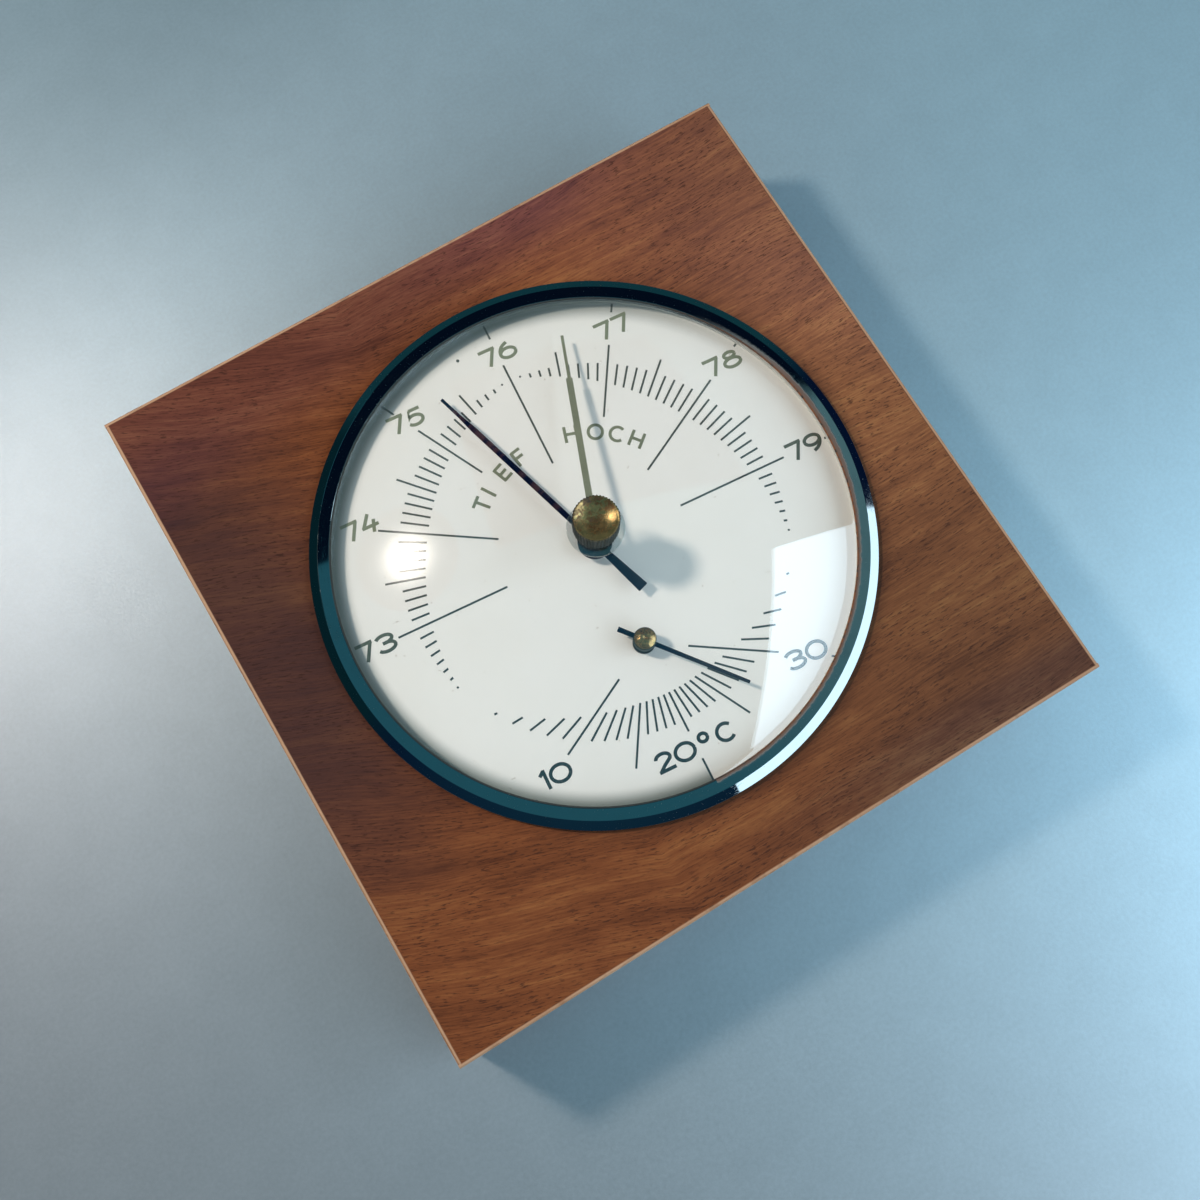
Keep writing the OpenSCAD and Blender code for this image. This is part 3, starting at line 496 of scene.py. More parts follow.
@dataclass(frozen=True)
class ClearPane(Finish):
    """Clear glass or plastic: it mirrors by the angle and lets the rest through."""

    straight: float = 0.075
    film: float = 0.0
    tint: Triple = (0.92, 0.97, 1.0)
    rough: float = 0.015

    def wire(self, n: Nodes) -> None:
        """Mirrors more towards a grazing view, with a faint film of dust.

        Args:
            n: the material's nodes.
        """
        spot = n.place()
        facing = n.add("ShaderNodeLayerWeight", {}, {"Blend": 0.5}, "Facing")
        dust = n.noise(spot, 0.09, 4.0, 0.6).step(0.35, 0.85)
        alpha = self.straight + (0.9 - self.straight) * facing ** 5.0 + dust * 0.006 + self.film
        colour = n.mix(dust * 0.3, self.tint, tuple(c * 0.9 for c in self.tint))
        n.surface({
            "Base Color": colour, "Metallic": 1.0, "Roughness": self.rough + 0.02 * dust, "Alpha": alpha,
        })


@dataclass(frozen=True)
class DialPaint(Finish):
    """Matt white lacquer of the dial, faintly aged, with a painted shadow of the ring at its edge."""

    white: Triple = (0.93, 0.925, 0.88)
    aged: Triple = (0.88, 0.87, 0.81)
    fleck: Triple = (0.30, 0.22, 0.14)
    # Colour of the painted shadow of the ring.
    painted_shadow_colour: Triple = (0.10, 0.14, 0.125)

    def wire(self, n: Nodes) -> None:
        """Adds faint clouds, a few specks, an aged rim, and a painted shadow of the ring that darkens the edge at the
        left and the top.

        Args:
            n: the material's nodes.
        """
        spot = n.place(turn=DIAL_TURN)
        distance, angle = n.polar(spot)
        cloud = n.noise(spot, 0.035, 4.0, 0.55)
        grit = n.noise(spot, 1.7, 3.0, 0.6)
        speck = n.noise(spot, 0.9, 2.0).step(0.745, 0.77)
        rim = distance.step(49.6, 51.6) * n.noise(spot, 0.4, 3.0).step(0.4, 0.7)
        # Painted shadow of the ring: the edge of the paint darkens towards the shadow colour at the left and the top.
        shade = distance.step(46.8, 50.4) * (1.0 - angle.band(40.0, 205.0, 40.0)) * 0.85
        share = cloud.step(0.35, 0.75) * 0.5 + rim * 0.5
        colour = n.mix(speck * 0.35, n.mix(share, self.white, self.aged), self.fleck)
        colour = n.mix(shade, colour, self.painted_shadow_colour)
        n.surface({"Base Color": colour, "Roughness": 0.5 + 0.12 * grit, "Normal": n.bump(grit, 0.01, 0.3)})


@dataclass(frozen=True)
class Ink(Finish):
    """Dial print: olive-grey above, near black below."""

    upper: Triple = (0.22, 0.25, 0.165)
    lower: Triple = (0.012, 0.032, 0.036)
    thinned: Triple = (0.30, 0.31, 0.27)

    def wire(self, n: Nodes) -> None:
        """Fades the print from top to bottom, with thin places in the ink.

        Args:
            n: the material's nodes.
        """
        spot = n.place(turn=DIAL_TURN)
        _, y, _ = n.split(spot)
        thin = n.noise(spot, 1.6, 3.0, 0.6)
        colour = n.mix(y.step(-16.0, 26.0), self.lower, self.upper)
        colour = n.mix(thin.step(0.5, 0.8) * 0.3, colour, self.thinned)
        n.surface({"Base Color": colour, "Roughness": 0.45 + 0.2 * thin})


@dataclass(frozen=True)
class HandLacquer(Finish):
    """Navy lacquer of the steel hands, rubbed red-brown in places."""

    centre: Point
    navy: Triple = (0.0005, 0.003, 0.020)
    rubbed: Triple = (0.085, 0.042, 0.045)
    worn: float = 0.65

    def wire(self, n: Nodes) -> None:
        """Adds rubbed patches along the hand, none on its tail.

        Args:
            n: the material's nodes.
        """
        spot = n.place((*self.centre, 0.0), turn=DIAL_TURN)
        distance, _ = n.polar(spot)
        _, y, _ = n.split(spot)
        patch = n.noise(n.join(distance * 0.33, y * 0.05), 1.0, 3.0, 0.6).step(0.51, 0.60)
        share = patch * distance.step(7.0, 10.0) * y.step(-6.0, 4.0) * self.worn
        fine = n.noise(spot, 3.0, 3.0)
        n.surface({
            "Base Color": n.mix(share, self.navy, self.rubbed), "Roughness": 0.34 + 0.2 * fine + 0.1 * share,
            "Normal": n.bump(fine, 0.01, 0.3), "Specular IOR Level": 0.07,
        })


@dataclass(frozen=True)
class SatinBrass(Finish):
    """Sage-coloured satin brass of the set hand."""

    tint: Triple = (0.36, 0.39, 0.27)

    def wire(self, n: Nodes) -> None:
        """Adds lengthwise lines and cloudy tarnish.

        Args:
            n: the material's nodes.
        """
        spot = n.place(turn=DIAL_TURN)
        lines = n.noise(spot * (4.0, 0.5, 1.0), 1.0, 3.0, 0.7)
        cloud = n.noise(spot, 0.4, 3.0)
        colour = n.mix(cloud, self.tint, tuple(c * 0.72 for c in self.tint))
        n.surface({
            "Base Color": colour, "Metallic": 0.35, "Roughness": 0.38 + 0.15 * lines,
            "Normal": n.bump(lines, 0.008, 0.4),
        })


@dataclass(frozen=True)
class KnobBrass(Finish):
    """Tarnished green-gold brass of a turned knob or cap, dark below its face."""

    centre: Point
    gold: Triple = (0.62, 0.41, 0.17)
    green: Triple = (0.27, 0.23, 0.10)
    brown: Triple = (0.13, 0.060, 0.030)
    dark: Triple = (0.010, 0.030, 0.034)
    radius: float = 4.42
    face_z: float = 49.4

    def wire(self, n: Nodes) -> None:
        """Tarnishes the face, most at the top, with a dark rim and a dark band below it.

        Args:
            n: the material's nodes.
        """
        spot = n.place((*self.centre, 0.0), turn=DIAL_TURN)
        distance, angle = n.polar(spot)
        x, y, _ = n.split(spot)
        _, _, z = n.split(n.place())
        rings = n.noise(n.join(distance * 4.0, angle * 0.004), 1.0, 2.0)
        blot = n.noise(spot, 0.55, 4.0, 0.65, 0.8)
        fine = n.noise(spot, 1.8, 4.0, 0.7)
        smudge = (blot * 0.6 + fine * 0.4 + y * (0.09 / self.radius)).step(0.45, 0.60)
        colour = n.mix(fine.step(0.35, 0.65), self.green, self.gold)
        colour = n.mix(smudge * 0.85, colour, self.brown)
        black = (blot * 0.7 + fine * 0.3 + (y - x * 0.3) * (0.16 / self.radius)).step(0.60, 0.72)
        rim = distance.step(self.radius * 0.935, self.radius * 0.975)
        below = z.step(self.face_z - 1.25, self.face_z - 1.45).larger(rim)
        gone = (black * 0.8).larger(below) * 0.95
        n.surface({
            "Base Color": n.mix(gone, colour, self.dark), "Metallic": 0.84 - 0.7 * gone,
            "Roughness": 0.15 + 0.14 * smudge + 0.08 * fine + 0.45 * gone,
            "Normal": n.bump(rings + fine, 0.012, 0.4), "Specular IOR Level": 0.25,
        })


@dataclass(frozen=True)
class Putty(Finish):
    """Aged sealing line between the glass and the lip of the bezel."""

    fresh: Triple = (0.030, 0.036, 0.036)
    rust: Triple = (0.22, 0.085, 0.035)

    def wire(self, n: Nodes) -> None:
        """Turns the line rusty on the right and dark elsewhere.

        Args:
            n: the material's nodes.
        """
        spot = n.place(turn=DIAL_TURN)
        _, angle = n.polar(spot)
        crumb = n.noise(spot, 1.3, 4.0, 0.7)
        share = angle.band(60.0, 170.0, 25.0) * crumb.step(0.35, 0.55)
        n.surface({
            "Base Color": n.mix(share, self.fresh, self.rust), "Roughness": 0.75 + 0.2 * crumb,
            "Normal": n.bump(crumb, 0.08, 0.7),
        })


@dataclass(frozen=True)
class Glow(Finish):
    """Light of a studio card, strongest in its middle."""

    reach: float
    radiance: float
    colour: Triple

    def wire(self, n: Nodes) -> None:
        """Lets the light fall off softly from the middle.

        Args:
            n: the material's nodes.
        """
        distance = n.add("ShaderNodeVectorMath", {"operation": "LENGTH"}, {0: n.coords()}, "Value")
        share = distance * (1.0 / self.reach)
        fall = n.add("ShaderNodeMath", {"operation": "EXPONENT"}, {0: share * share * -1.6})
        light = n.add("ShaderNodeEmission", {}, {"Color": self.colour, "Strength": fall * self.radiance})
        n.add("ShaderNodeOutputMaterial", {}, {"Surface": light})


@dataclass(frozen=True)
class FloorPaint(Finish):
    """Plain pale blue-grey floor with a soft sheen and a painted falloff of light across it."""

    # pale and low are the lit and dim ends of the painted falloff of light.
    pale: Triple = (0.49, 0.68, 0.79)
    low: Triple = (0.40, 0.43, 0.46)
    haze: Triple = (0.30, 0.39, 0.44)

    def wire(self, n: Nodes) -> None:
        """Adds only the finest grain, a painted falloff of light from dim at the lower left to bright at the upper
        right and painted shade in the far upper left corner, and keeps the floor pale far from the object.

        Args:
            n: the material's nodes.
        """
        spot = n.place()
        fine = n.noise(spot, 1.1, 4.0, 0.65)
        cloud = n.noise(spot, 0.10, 3.0, 0.6)
        x, y, _ = n.split(spot)
        # Painted falloff of light: the floor brightens from the lower left to the upper right.
        fall = (x * 0.8 + y * 0.6).step(-170.0, 60.0)
        # Painted shade: the far upper left corner is darkened.
        corner = (y - x * 0.5).step(105.0, 190.0)
        colour = n.mix(fall, self.low, self.pale) * (1.0 - 0.28 * corner) * (0.82 + 0.24 * fine + 0.12 * cloud)
        distance, _ = n.polar(spot)
        far = distance.step(230.0, 520.0)
        seen = n.add("ShaderNodeLightPath", output="Is Camera Ray")
        n.surface({
            "Base Color": colour, "Metallic": 0.6 - 0.6 * far, "Roughness": 0.34 + 0.16 * fine + 0.4 * far,
            "Normal": n.bump(fine, 0.05, 0.35), "Emission Strength": 1.0,
            "Emission Color": n.mix(far * seen, (0.0, 0.0, 0.0), self.haze),
        })


# Forms


class Form:
    """A mesh in millimetres that bmesh operators shape."""

    def __init__(self) -> None:
        """Starts an empty mesh."""
        self.bm = bmesh.new()

    def lathe(self, profile: Sequence[Point], steps: int, closed: bool = True) -> "Form":
        """Spins a profile round the Z axis.

        Args:
            profile: distance from the axis and height of each corner.
            steps: number of steps round.
            closed: whether the profile's last corner joins its first.

        Returns:
            This form.
        """
        start = len(self.bm.verts)
        verts = [self.bm.verts.new((r, 0.0, z)) for r, z in profile]
        ends = verts[1:] + (verts[:1] if closed else [])
        edges = [self.bm.edges.new(pair) for pair in zip(verts, ends)]
        bmesh.ops.spin(
            self.bm, geom=verts + edges, cent=(0, 0, 0), axis=(0, 0, 1), dvec=(0, 0, 0),
            angle=math.tau, steps=steps, use_merge=True, use_duplicate=False,
        )
        self.bm.verts.ensure_lookup_table()
        bmesh.ops.remove_doubles(self.bm, verts=self.bm.verts[start:], dist=1e-4)
        bmesh.ops.recalc_face_normals(self.bm, faces=self.bm.faces)
        return self

    def soften(self, width: float, segments: int = 2, degrees: float = 25.0) -> "Form":
        """Bevels every edge that turns by more than an angle.

        Args:
            width: width of the bevel.
            segments: its number of faces.
            degrees: the least turn of an edge that is bevelled.

        Returns:
            This form.
        """
        edges = [e for e in self.bm.edges if len(e.link_faces) == 2 and e.calc_face_angle() > math.radians(degrees)]
        bmesh.ops.bevel(
            self.bm, geom=edges, offset=width, offset_type="OFFSET", affect="EDGES",
            segments=segments, profile=0.5, material=-1, clamp_overlap=True,
        )
        return self

    def smooth(self, degrees: float = 30.0) -> "Form":
        """Shades the faces smooth, with crisp edges where they turn by more than an angle."""
        for face in self.bm.faces:
            face.smooth = True
        for edge in self.bm.edges:
            edge.smooth = len(edge.link_faces) == 2 and edge.calc_face_angle() < math.radians(degrees)
        return self

    def thicken(self, height: float) -> "Form":
        """Gives flat faces a thickness, upwards.

        Args:
            height: the thickness.

        Returns:
            This form.
        """
        made = bmesh.ops.extrude_face_region(self.bm, geom=self.bm.faces[:], use_keep_orig=True)
        tops = [item for item in made["geom"] if isinstance(item, bmesh.types.BMVert)]
        bmesh.ops.translate(self.bm, verts=tops, vec=(0.0, 0.0, height))
        bmesh.ops.recalc_face_normals(self.bm, faces=self.bm.faces)
        return self

    def move(self, matrix: Matrix) -> "Form":
        """Moves the whole form by a matrix."""
        bmesh.ops.transform(self.bm, matrix=matrix, verts=self.bm.verts)
        return self

    def take(self, other: "Form") -> "Form":
        """Adds another form's mesh to this one."""
        mesh = bpy.data.meshes.new("part")
        other.bm.to_mesh(mesh)
        self.bm.from_mesh(mesh)
        bpy.data.meshes.remove(mesh)
        other.bm.free()
        return self

    def piece(self, name: str, finish: Finish, slot: str, body: str, *replaced: str) -> bpy.types.Object:
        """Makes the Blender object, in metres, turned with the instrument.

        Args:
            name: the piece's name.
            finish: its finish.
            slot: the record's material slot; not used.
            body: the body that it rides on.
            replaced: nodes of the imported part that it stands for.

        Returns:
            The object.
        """
        self.move(Matrix.Rotation(DIAL_TURN, 4, "Z") @ Matrix.Scale(MM, 4))
        mesh = bpy.data.meshes.new(name)
        self.bm.to_mesh(mesh)
        self.bm.free()
        mesh.materials.append(finish.material())
        obj = bpy.data.objects.new(name, mesh)
        bpy.context.scene.collection.objects.link(obj)
        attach(obj, body)
        if replaced:
            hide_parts(*replaced)
        LOG.info("%s: %d faces on %s", name, len(mesh.polygons), body)
        return obj


class Pen:
    """Draws flat strokes as ribbons of faces."""

    def __init__(self, level: float, width: float) -> None:
        """Sets the height and width of the strokes."""
        self.form = Form()
        self.level = level
        self.width = width

    def stroke(self, points: Sequence[Point], widths: Sequence[float] | None = None) -> None:
        """Draws one stroke by extruding an edge that lies across it.

        Args:
            points: the middle of the stroke at each section.
            widths: its width at each section, when it isn't even.
        """
        bm = self.form.bm
        path = [Vector(point) for point in points]
        pair, edge = None, None
        for i, (here, width) in enumerate(zip(path, widths or [self.width] * len(path))):
            before = (here - path[i - 1]).normalized() if i else None
            after = (path[i + 1] - here).normalized() if i + 1 < len(path) else None
            along = ((before or after) + (after or before)).normalized()
            side = Vector((-along.y, along.x)) * (width / 2.0 / max(0.4, along.dot(before or after)))
            ends = [(*(here + side), self.level), (*(here - side), self.level)]
            if pair is None:
                pair = [bm.verts.new(end) for end in ends]
                edge = bm.edges.new(pair)
                continue
            made = bmesh.ops.extrude_edge_only(bm, edges=[edge])["geom"]
            fresh = [item for item in made if isinstance(item, bmesh.types.BMVert)]
            pair = [next(v for v in fresh if any(old in e.verts for e in v.link_edges)) for old in pair]
            edge = next(e for e in pair[0].link_edges if pair[1] in e.verts)
            for vert, end in zip(pair, ends):
                vert.co = end

    def dot(self, centre: Point, radius: float) -> None:
        """Draws a round dot."""
        place = Matrix.Translation((*centre, self.level))
        bmesh.ops.create_circle(self.form.bm, cap_ends=True, segments=16, radius=radius, matrix=place)


def bow(centre: Point, reach: Point, start: float, end: float, sections: int = 20) -> Stroke:
    """Gives the points of an oval arc.

    Args:
        centre: its middle.
        reach: half its width and half its height.
        start: angle at the start, in degrees from +X, anticlockwise.
        end: angle at the end.
        sections: number of steps.

    Returns:
        The points.
    """
    angles = [math.radians(start + (end - start) * i / sections) for i in range(sections + 1)]
    return [(centre[0] + reach[0] * math.cos(a), centre[1] + reach[1] * math.sin(a)) for a in angles]


@dataclass(frozen=True)
class Glyph:
    """One numeral or letter: its strokes about its middle, and half its width."""

    strokes: tuple[Stroke, ...]
    half: float


SIX = (bow((0.0, -0.60), (1.60, 1.02), 0.0, 360.0, 28), bow((1.30, -0.60), (2.90, 2.30), 180.0, 106.0, 12))
NUMERALS = {
    "0": Glyph((bow((0.0, 0.0), (1.92, 1.60), 0.0, 360.0, 32),), 2.25),
    "1": Glyph(([(0.35, -1.92), (0.35, 1.92)], [(0.42, 1.72), (-0.62, 0.92)]), 0.75),
    "2": Glyph((
        bow((0.0, 0.70), (1.42, 0.90), 172.0, -28.0) + [(-0.20, -0.62), (-1.45, -1.60)],
        [(-1.70, -1.60), (1.72, -1.60)],
    ), 1.72),
    "3": Glyph((
        bow((-0.05, 0.84), (1.62, 0.78), 158.0, -92.0), bow((0.0, -0.74), (1.72, 0.86), 90.0, -160.0),
        [(-0.55, 0.08), (0.25, 0.08)],
    ), 2.0),
    "4": Glyph((
        [(0.35, 1.95), (-1.45, -0.62)], [(-1.72, -0.58), (1.72, -0.58)], [(1.05, 0.55), (0.25, -1.95)],
    ), 1.75),
    "5": Glyph((
        [(-0.62, 1.60), (1.62, 1.60)],
        [(-0.55, 1.60), (-1.05, 0.20)] + bow((-0.05, -0.58), (1.60, 1.02), 128.0, -150.0),
    ), 1.75),
    "6": Glyph(SIX, 1.95),
    "7": Glyph(([(-1.72, 1.60), (1.75, 1.60)], [(1.45, 1.60), (-0.42, -1.95)]), 1.78),
    "8": Glyph((
        bow((0.0, 0.98), (1.15, 0.62), 0.0, 360.0, 26), bow((0.0, -0.70), (1.72, 0.92), 0.0, 360.0, 28),
    ), 2.05),
    "9": Glyph(tuple([(-x, -y) for x, y in stroke] for stroke in SIX), 1.95),
    "degree": Glyph((bow((0.0, 0.92), (0.88, 0.80), 0.0, 360.0, 20),), 1.15),
    "C": Glyph((bow((0.0, 0.0), (1.70, 1.62), 42.0, 318.0, 26),), 2.0),
}
LETTERS = {
    "T": Glyph(([(-1.3, 1.45), (1.3, 1.45)], [(0.0, 1.6), (0.0, -1.68)]), 1.3),
    "I": Glyph(([(0.0, 1.68), (0.0, -1.68)],), 0.3),
    "E": Glyph((
        [(-0.88, 1.68), (-0.88, -1.68)], [(-0.9, 1.45), (1.1, 1.45)], [(-0.9, 0.0), (0.9, 0.0)],
        [(-0.9, -1.45), (1.1, -1.45)],
    ), 1.1),
    "F": Glyph(([(-0.88, 1.68), (-0.88, -1.68)], [(-0.9, 1.45), (1.1, 1.45)], [(-0.9, 0.05), (0.9, 0.05)]), 1.1),
    "H": Glyph(([(-1.12, 1.68), (-1.12, -1.68)], [(1.12, 1.68), (1.12, -1.68)], [(-1.12, 0.0), (1.12, 0.0)]), 1.35),
    "O": Glyph((bow((0.0, 0.0), (1.42, 1.45), 0.0, 360.0, 30),), 1.65),
    "C": Glyph((bow((0.15, 0.0), (1.45, 1.45), 48.0, 312.0, 26),), 1.55),
}


# Sub-assemblies


@dataclass
class Block:
    """The veneered block with its hanger and fixings."""

    board: Finish = ParticleBoard("raw_board")
    face: Finish = Veneer("front_wood", Grain.ACROSS_PANEL)
    edge: Finish = Veneer("edge_wood", Grain.ROUND_EDGE)
    zinc: Finish = Metal("zinc_sheet", (0.50, 0.53, 0.55), (0.24, 0.24, 0.23), 0.32, 0.4)
    screws: Finish = Metal("zinc_screws", (0.55, 0.57, 0.58), (0.20, 0.19, 0.17), 0.28, 0.45, Brush.NONE)

    def dress(self) -> None:
        """Puts the finishes on the block's nodes."""
        self.board.dress("core_block")
        self.face.dress("front_veneer")
        self.edge.dress("edge_strips")
        self.zinc.dress("hanger_plate", "can_clips", "case_can")
        self.screws.dress("hanger_screws", "clip_screws")
        LOG.info("block dressed")


@dataclass
class Case:
    """The ring bezel, the domed glass and what lies round the dial."""

    outer_r: float = 54.73
    front_z: float = 32.0
    rim_z: float = 33.05
    crest_r: float = 52.93
    crest_z: float = 34.1
    inner_r: float = 50.7
    lip_z: float = 33.9
    lip_t: float = 0.08
    lip_depth: float = 0.05
    seat_r: float = 51.6
    seat_z: float = 32.83
    skirt_r: float = 53.88
    glass_r: float = 51.4
    hole_r: float = 1.99
    sphere_z: float = -108.9
    outside_r: float = 151.3
    inside_r: float = 149.5
    steps: int = 360
    glass_steps: int = 240
    glass_rings: int = 28

    def bezel(self) -> bpy.types.Object:
        """Spins the polished ring with its crisp facets."""
        under = self.lip_z - self.lip_depth
        form = Form().lathe([
            (self.outer_r, self.front_z), (self.outer_r, self.rim_z), (self.crest_r, self.crest_z),
            (self.inner_r, self.lip_z + self.lip_t), (self.inner_r, under), (self.seat_r, under),
            (self.seat_r, self.seat_z), (self.skirt_r, self.seat_z), (self.skirt_r, self.front_z),
        ], self.steps)
        form.soften(0.10, 2).smooth(4.0)
        return form.piece("bezel_shell", MirrorPlating("ring_plating"), "bezel_plating", "case", "bezel_ring")

    def height(self, distance: float, radius: float) -> float:
        """Gives the height of one of the glass's spheres at a distance from the axis."""
        return self.sphere_z + math.sqrt(radius * radius - distance * distance)

    def glass(self) -> bpy.types.Object:
        """Spins the domed glass as a shell between two spheres."""
        count = self.glass_rings
        radii = [self.hole_r + (self.glass_r - self.hole_r) * i / count for i in range(count + 1)]
        outside = [(r, self.height(r, self.outside_r)) for r in radii]
        inside = [(r, self.height(r, self.inside_r)) for r in reversed(radii)]
        form = Form().lathe(outside + inside, self.glass_steps).soften(0.06, 2, 50.0).smooth(20.0)
        return form.piece("glass_dome", ClearPane("dome_glass"), "glass", "case", "domed_glass")

    def dress(self) -> None:
        """Puts the finishes on the case's other nodes."""
        Putty("sealing_putty").dress("glass_seal")
        DialPaint("dial_lacquer").dress("dial_plate")
        DialPaint("spacer_lacquer", (0.74, 0.75, 0.72), (0.62, 0.62, 0.57)).dress("spacer_ring")
        LOG.info("case dressed")


@dataclass
class Setter:
    """The knob on the glass and the set hand under it."""

    knob_z: float = 43.1
    knob_r: float = 4.42
    collar_r: float = 3.85
    collar_h: float = 1.2
    band_h: float = 5.0
    groove: float = 0.2
    grooves: int = 44
    face_r: float = 4.22
    face_h: float = 0.2
    face_root: float = 1.0
    face_steps: int = 128
    dish_r: float = 4.08
    dish_h: float = 1.1
    dish_rings: int = 16
    groove_points: int = 6
    band_inset: float = 0.12
    band_rise: float = 0.10
    sunk: float = 2.2
    washer_r: float = 5.5
    washer_h: float = 0.6
    washer_neck_r: float = 1.95
    washer_low_r: float = 2.8
    washer_foot: float = 0.7
    washer_gap: float = 0.05
    washer_lift: float = 0.02
    glass_z: tuple[float, float] = (40.6, 42.4)
    bore_r: float = 1.04
    turn: float = math.radians(-17.3)
    hub_z: float = 39.1
    hub_r: float = 2.4
    hub_t: float = 0.5
    hub_bore_r: float = 1.03
    root: float = 0.8
    tip_z: float = 33.48
    length: float = 44.1
    step: float = 9.8
    shoulder: float = 0.12
    width: float = 1.3
    tip_width: float = 0.6
    blade_t: float = 0.3

    def knob(self) -> bpy.types.Object:
        """Turns the knob with its dished face and knurls its band."""
        band_z = self.knob_z + self.collar_h
        root_z = band_z + self.face_root
        top_z = band_z + self.band_h + self.face_h
        ball = (self.dish_r ** 2 + self.dish_h ** 2) / (2.0 * self.dish_h)
        half = math.asin(self.dish_r / ball)
        angles = [half * i / self.dish_rings for i in range(self.dish_rings, -1, -1)]
        dish = [(ball * math.sin(a), top_z - self.dish_h + ball - ball * math.cos(a)) for a in angles]
        side = [(0.0, root_z), (self.face_r, root_z), (self.face_r, top_z)]
        form = Form().lathe(side + dish, self.face_steps, closed=False)
        form.soften(0.06, 2)
        collar = Form().lathe([
            (0.0, self.knob_z), (self.collar_r, self.knob_z), (self.collar_r, band_z), (0.0, band_z),
        ], SMALL_STEPS, closed=False).soften(0.08, 2)
        form.take(collar).take(self._band(band_z)).smooth(28.0)
        return form.piece("set_knob_turned", KnobBrass("knob_brass", (0.0, 0.0)), "brass", "setter", "set_knob")

    def washer(self) -> bpy.types.Object:
        """Turns the clear washer under the knob, with its neck through the glass."""
        under, top = self.glass_z
        foot, seat = under - self.washer_foot, under - self.washer_gap
        rest, head = top + self.washer_lift, top + self.washer_h
        form = Form().lathe([
            (self.bore_r, foot), (self.washer_low_r, foot), (self.washer_low_r, seat), (self.washer_neck_r, seat),
            (self.washer_neck_r, rest), (self.washer_r, rest), (self.washer_r, head), (self.bore_r, head),
        ], SMALL_STEPS).soften(0.1, 2).smooth(30.0)
        finish = ClearPane("washer_plastic", 0.12, 0.12, (0.80, 0.88, 0.84), 0.12)
        return form.piece("clear_washer", finish, "clear_plastic", "case", "glass_bush")

    def _band(self, level: float) -> Form:
        """Makes the knurled band: every groove is a point drawn in with its neighbours, and the top is sunk.

        Args:
            level: height of its underside.

        Returns:
            The band.
        """
        band = Form()
        per = self.groove_points
        made = bmesh.ops.create_circle(band.bm, cap_ends=True, segments=per * self.grooves, radius=self.knob_r)
        verts = sorted(made["verts"], key=lambda v: math.atan2(v.co.y, v.co.x))
        for share, picks in ((1.0, (0,)), (0.62, (1, 5)), (0.16, (2, 4))):
            scale = 1.0 - share * self.groove / self.knob_r
            chosen = [v for i, v in enumerate(verts) if i % per in picks]
            bmesh.ops.scale(band.bm, vec=(scale, scale, 1.0), verts=chosen)
        bmesh.ops.translate(band.bm, vec=(0.0, 0.0, level), verts=band.bm.verts)
        band.thicken(self.band_h)
        caps = [f for f in band.bm.faces if len(f.verts) > 4]
        bmesh.ops.inset_region(band.bm, faces=caps, thickness=self.band_inset, depth=self.band_rise)
        upper = max(caps, key=lambda f: f.calc_center_median().z)
        bmesh.ops.translate(band.bm, vec=(0.0, 0.0, -self.sunk), verts=upper.verts)
        return band

    def hand(self) -> bpy.types.Object:
        """Makes the sloping set hand with its narrow tip and round hub."""
        start = self.hub_r - self.root
        reach = self.length - self.hub_r
        slope = math.atan((self.hub_z - self.tip_z) / reach)
        narrow = self.length - self.step - self.hub_r
        pen = Pen(0.0, self.width)
        w, t = self.width, self.tip_width
        pen.stroke([(0.0, 0.0), (0.0, narrow), (0.0, narrow + self.shoulder), (0.0, reach)], [w, w, t, t])
        blade = pen.form.thicken(self.blade_t).soften(0.05, 1)
        blade.move(Matrix.Translation((0.0, start, self.hub_z)) @ Matrix.Rotation(-slope, 4, "X"))
        top = self.hub_z + self.hub_t
        hub = Form().lathe([
            (self.hub_bore_r, self.hub_z), (self.hub_r, self.hub_z), (self.hub_r, top), (self.hub_bore_r, top),
        ], SMALL_STEPS).soften(0.06, 2)
        form = blade.take(hub).move(Matrix.Rotation(self.turn, 4, "Z")).smooth(20.0)
        return form.piece("set_pointer", SatinBrass("set_hand_satin"), "set_hand_brass", "setter", "set_hand")

    def dress(self) -> None:
        """Puts the finish on the spindle."""
        Metal("spindle_brass", (0.52, 0.45, 0.22), (0.16, 0.13, 0.06), 0.22, 0.4, Brush.NONE).dress("set_spindle")
        LOG.info("setter dressed")


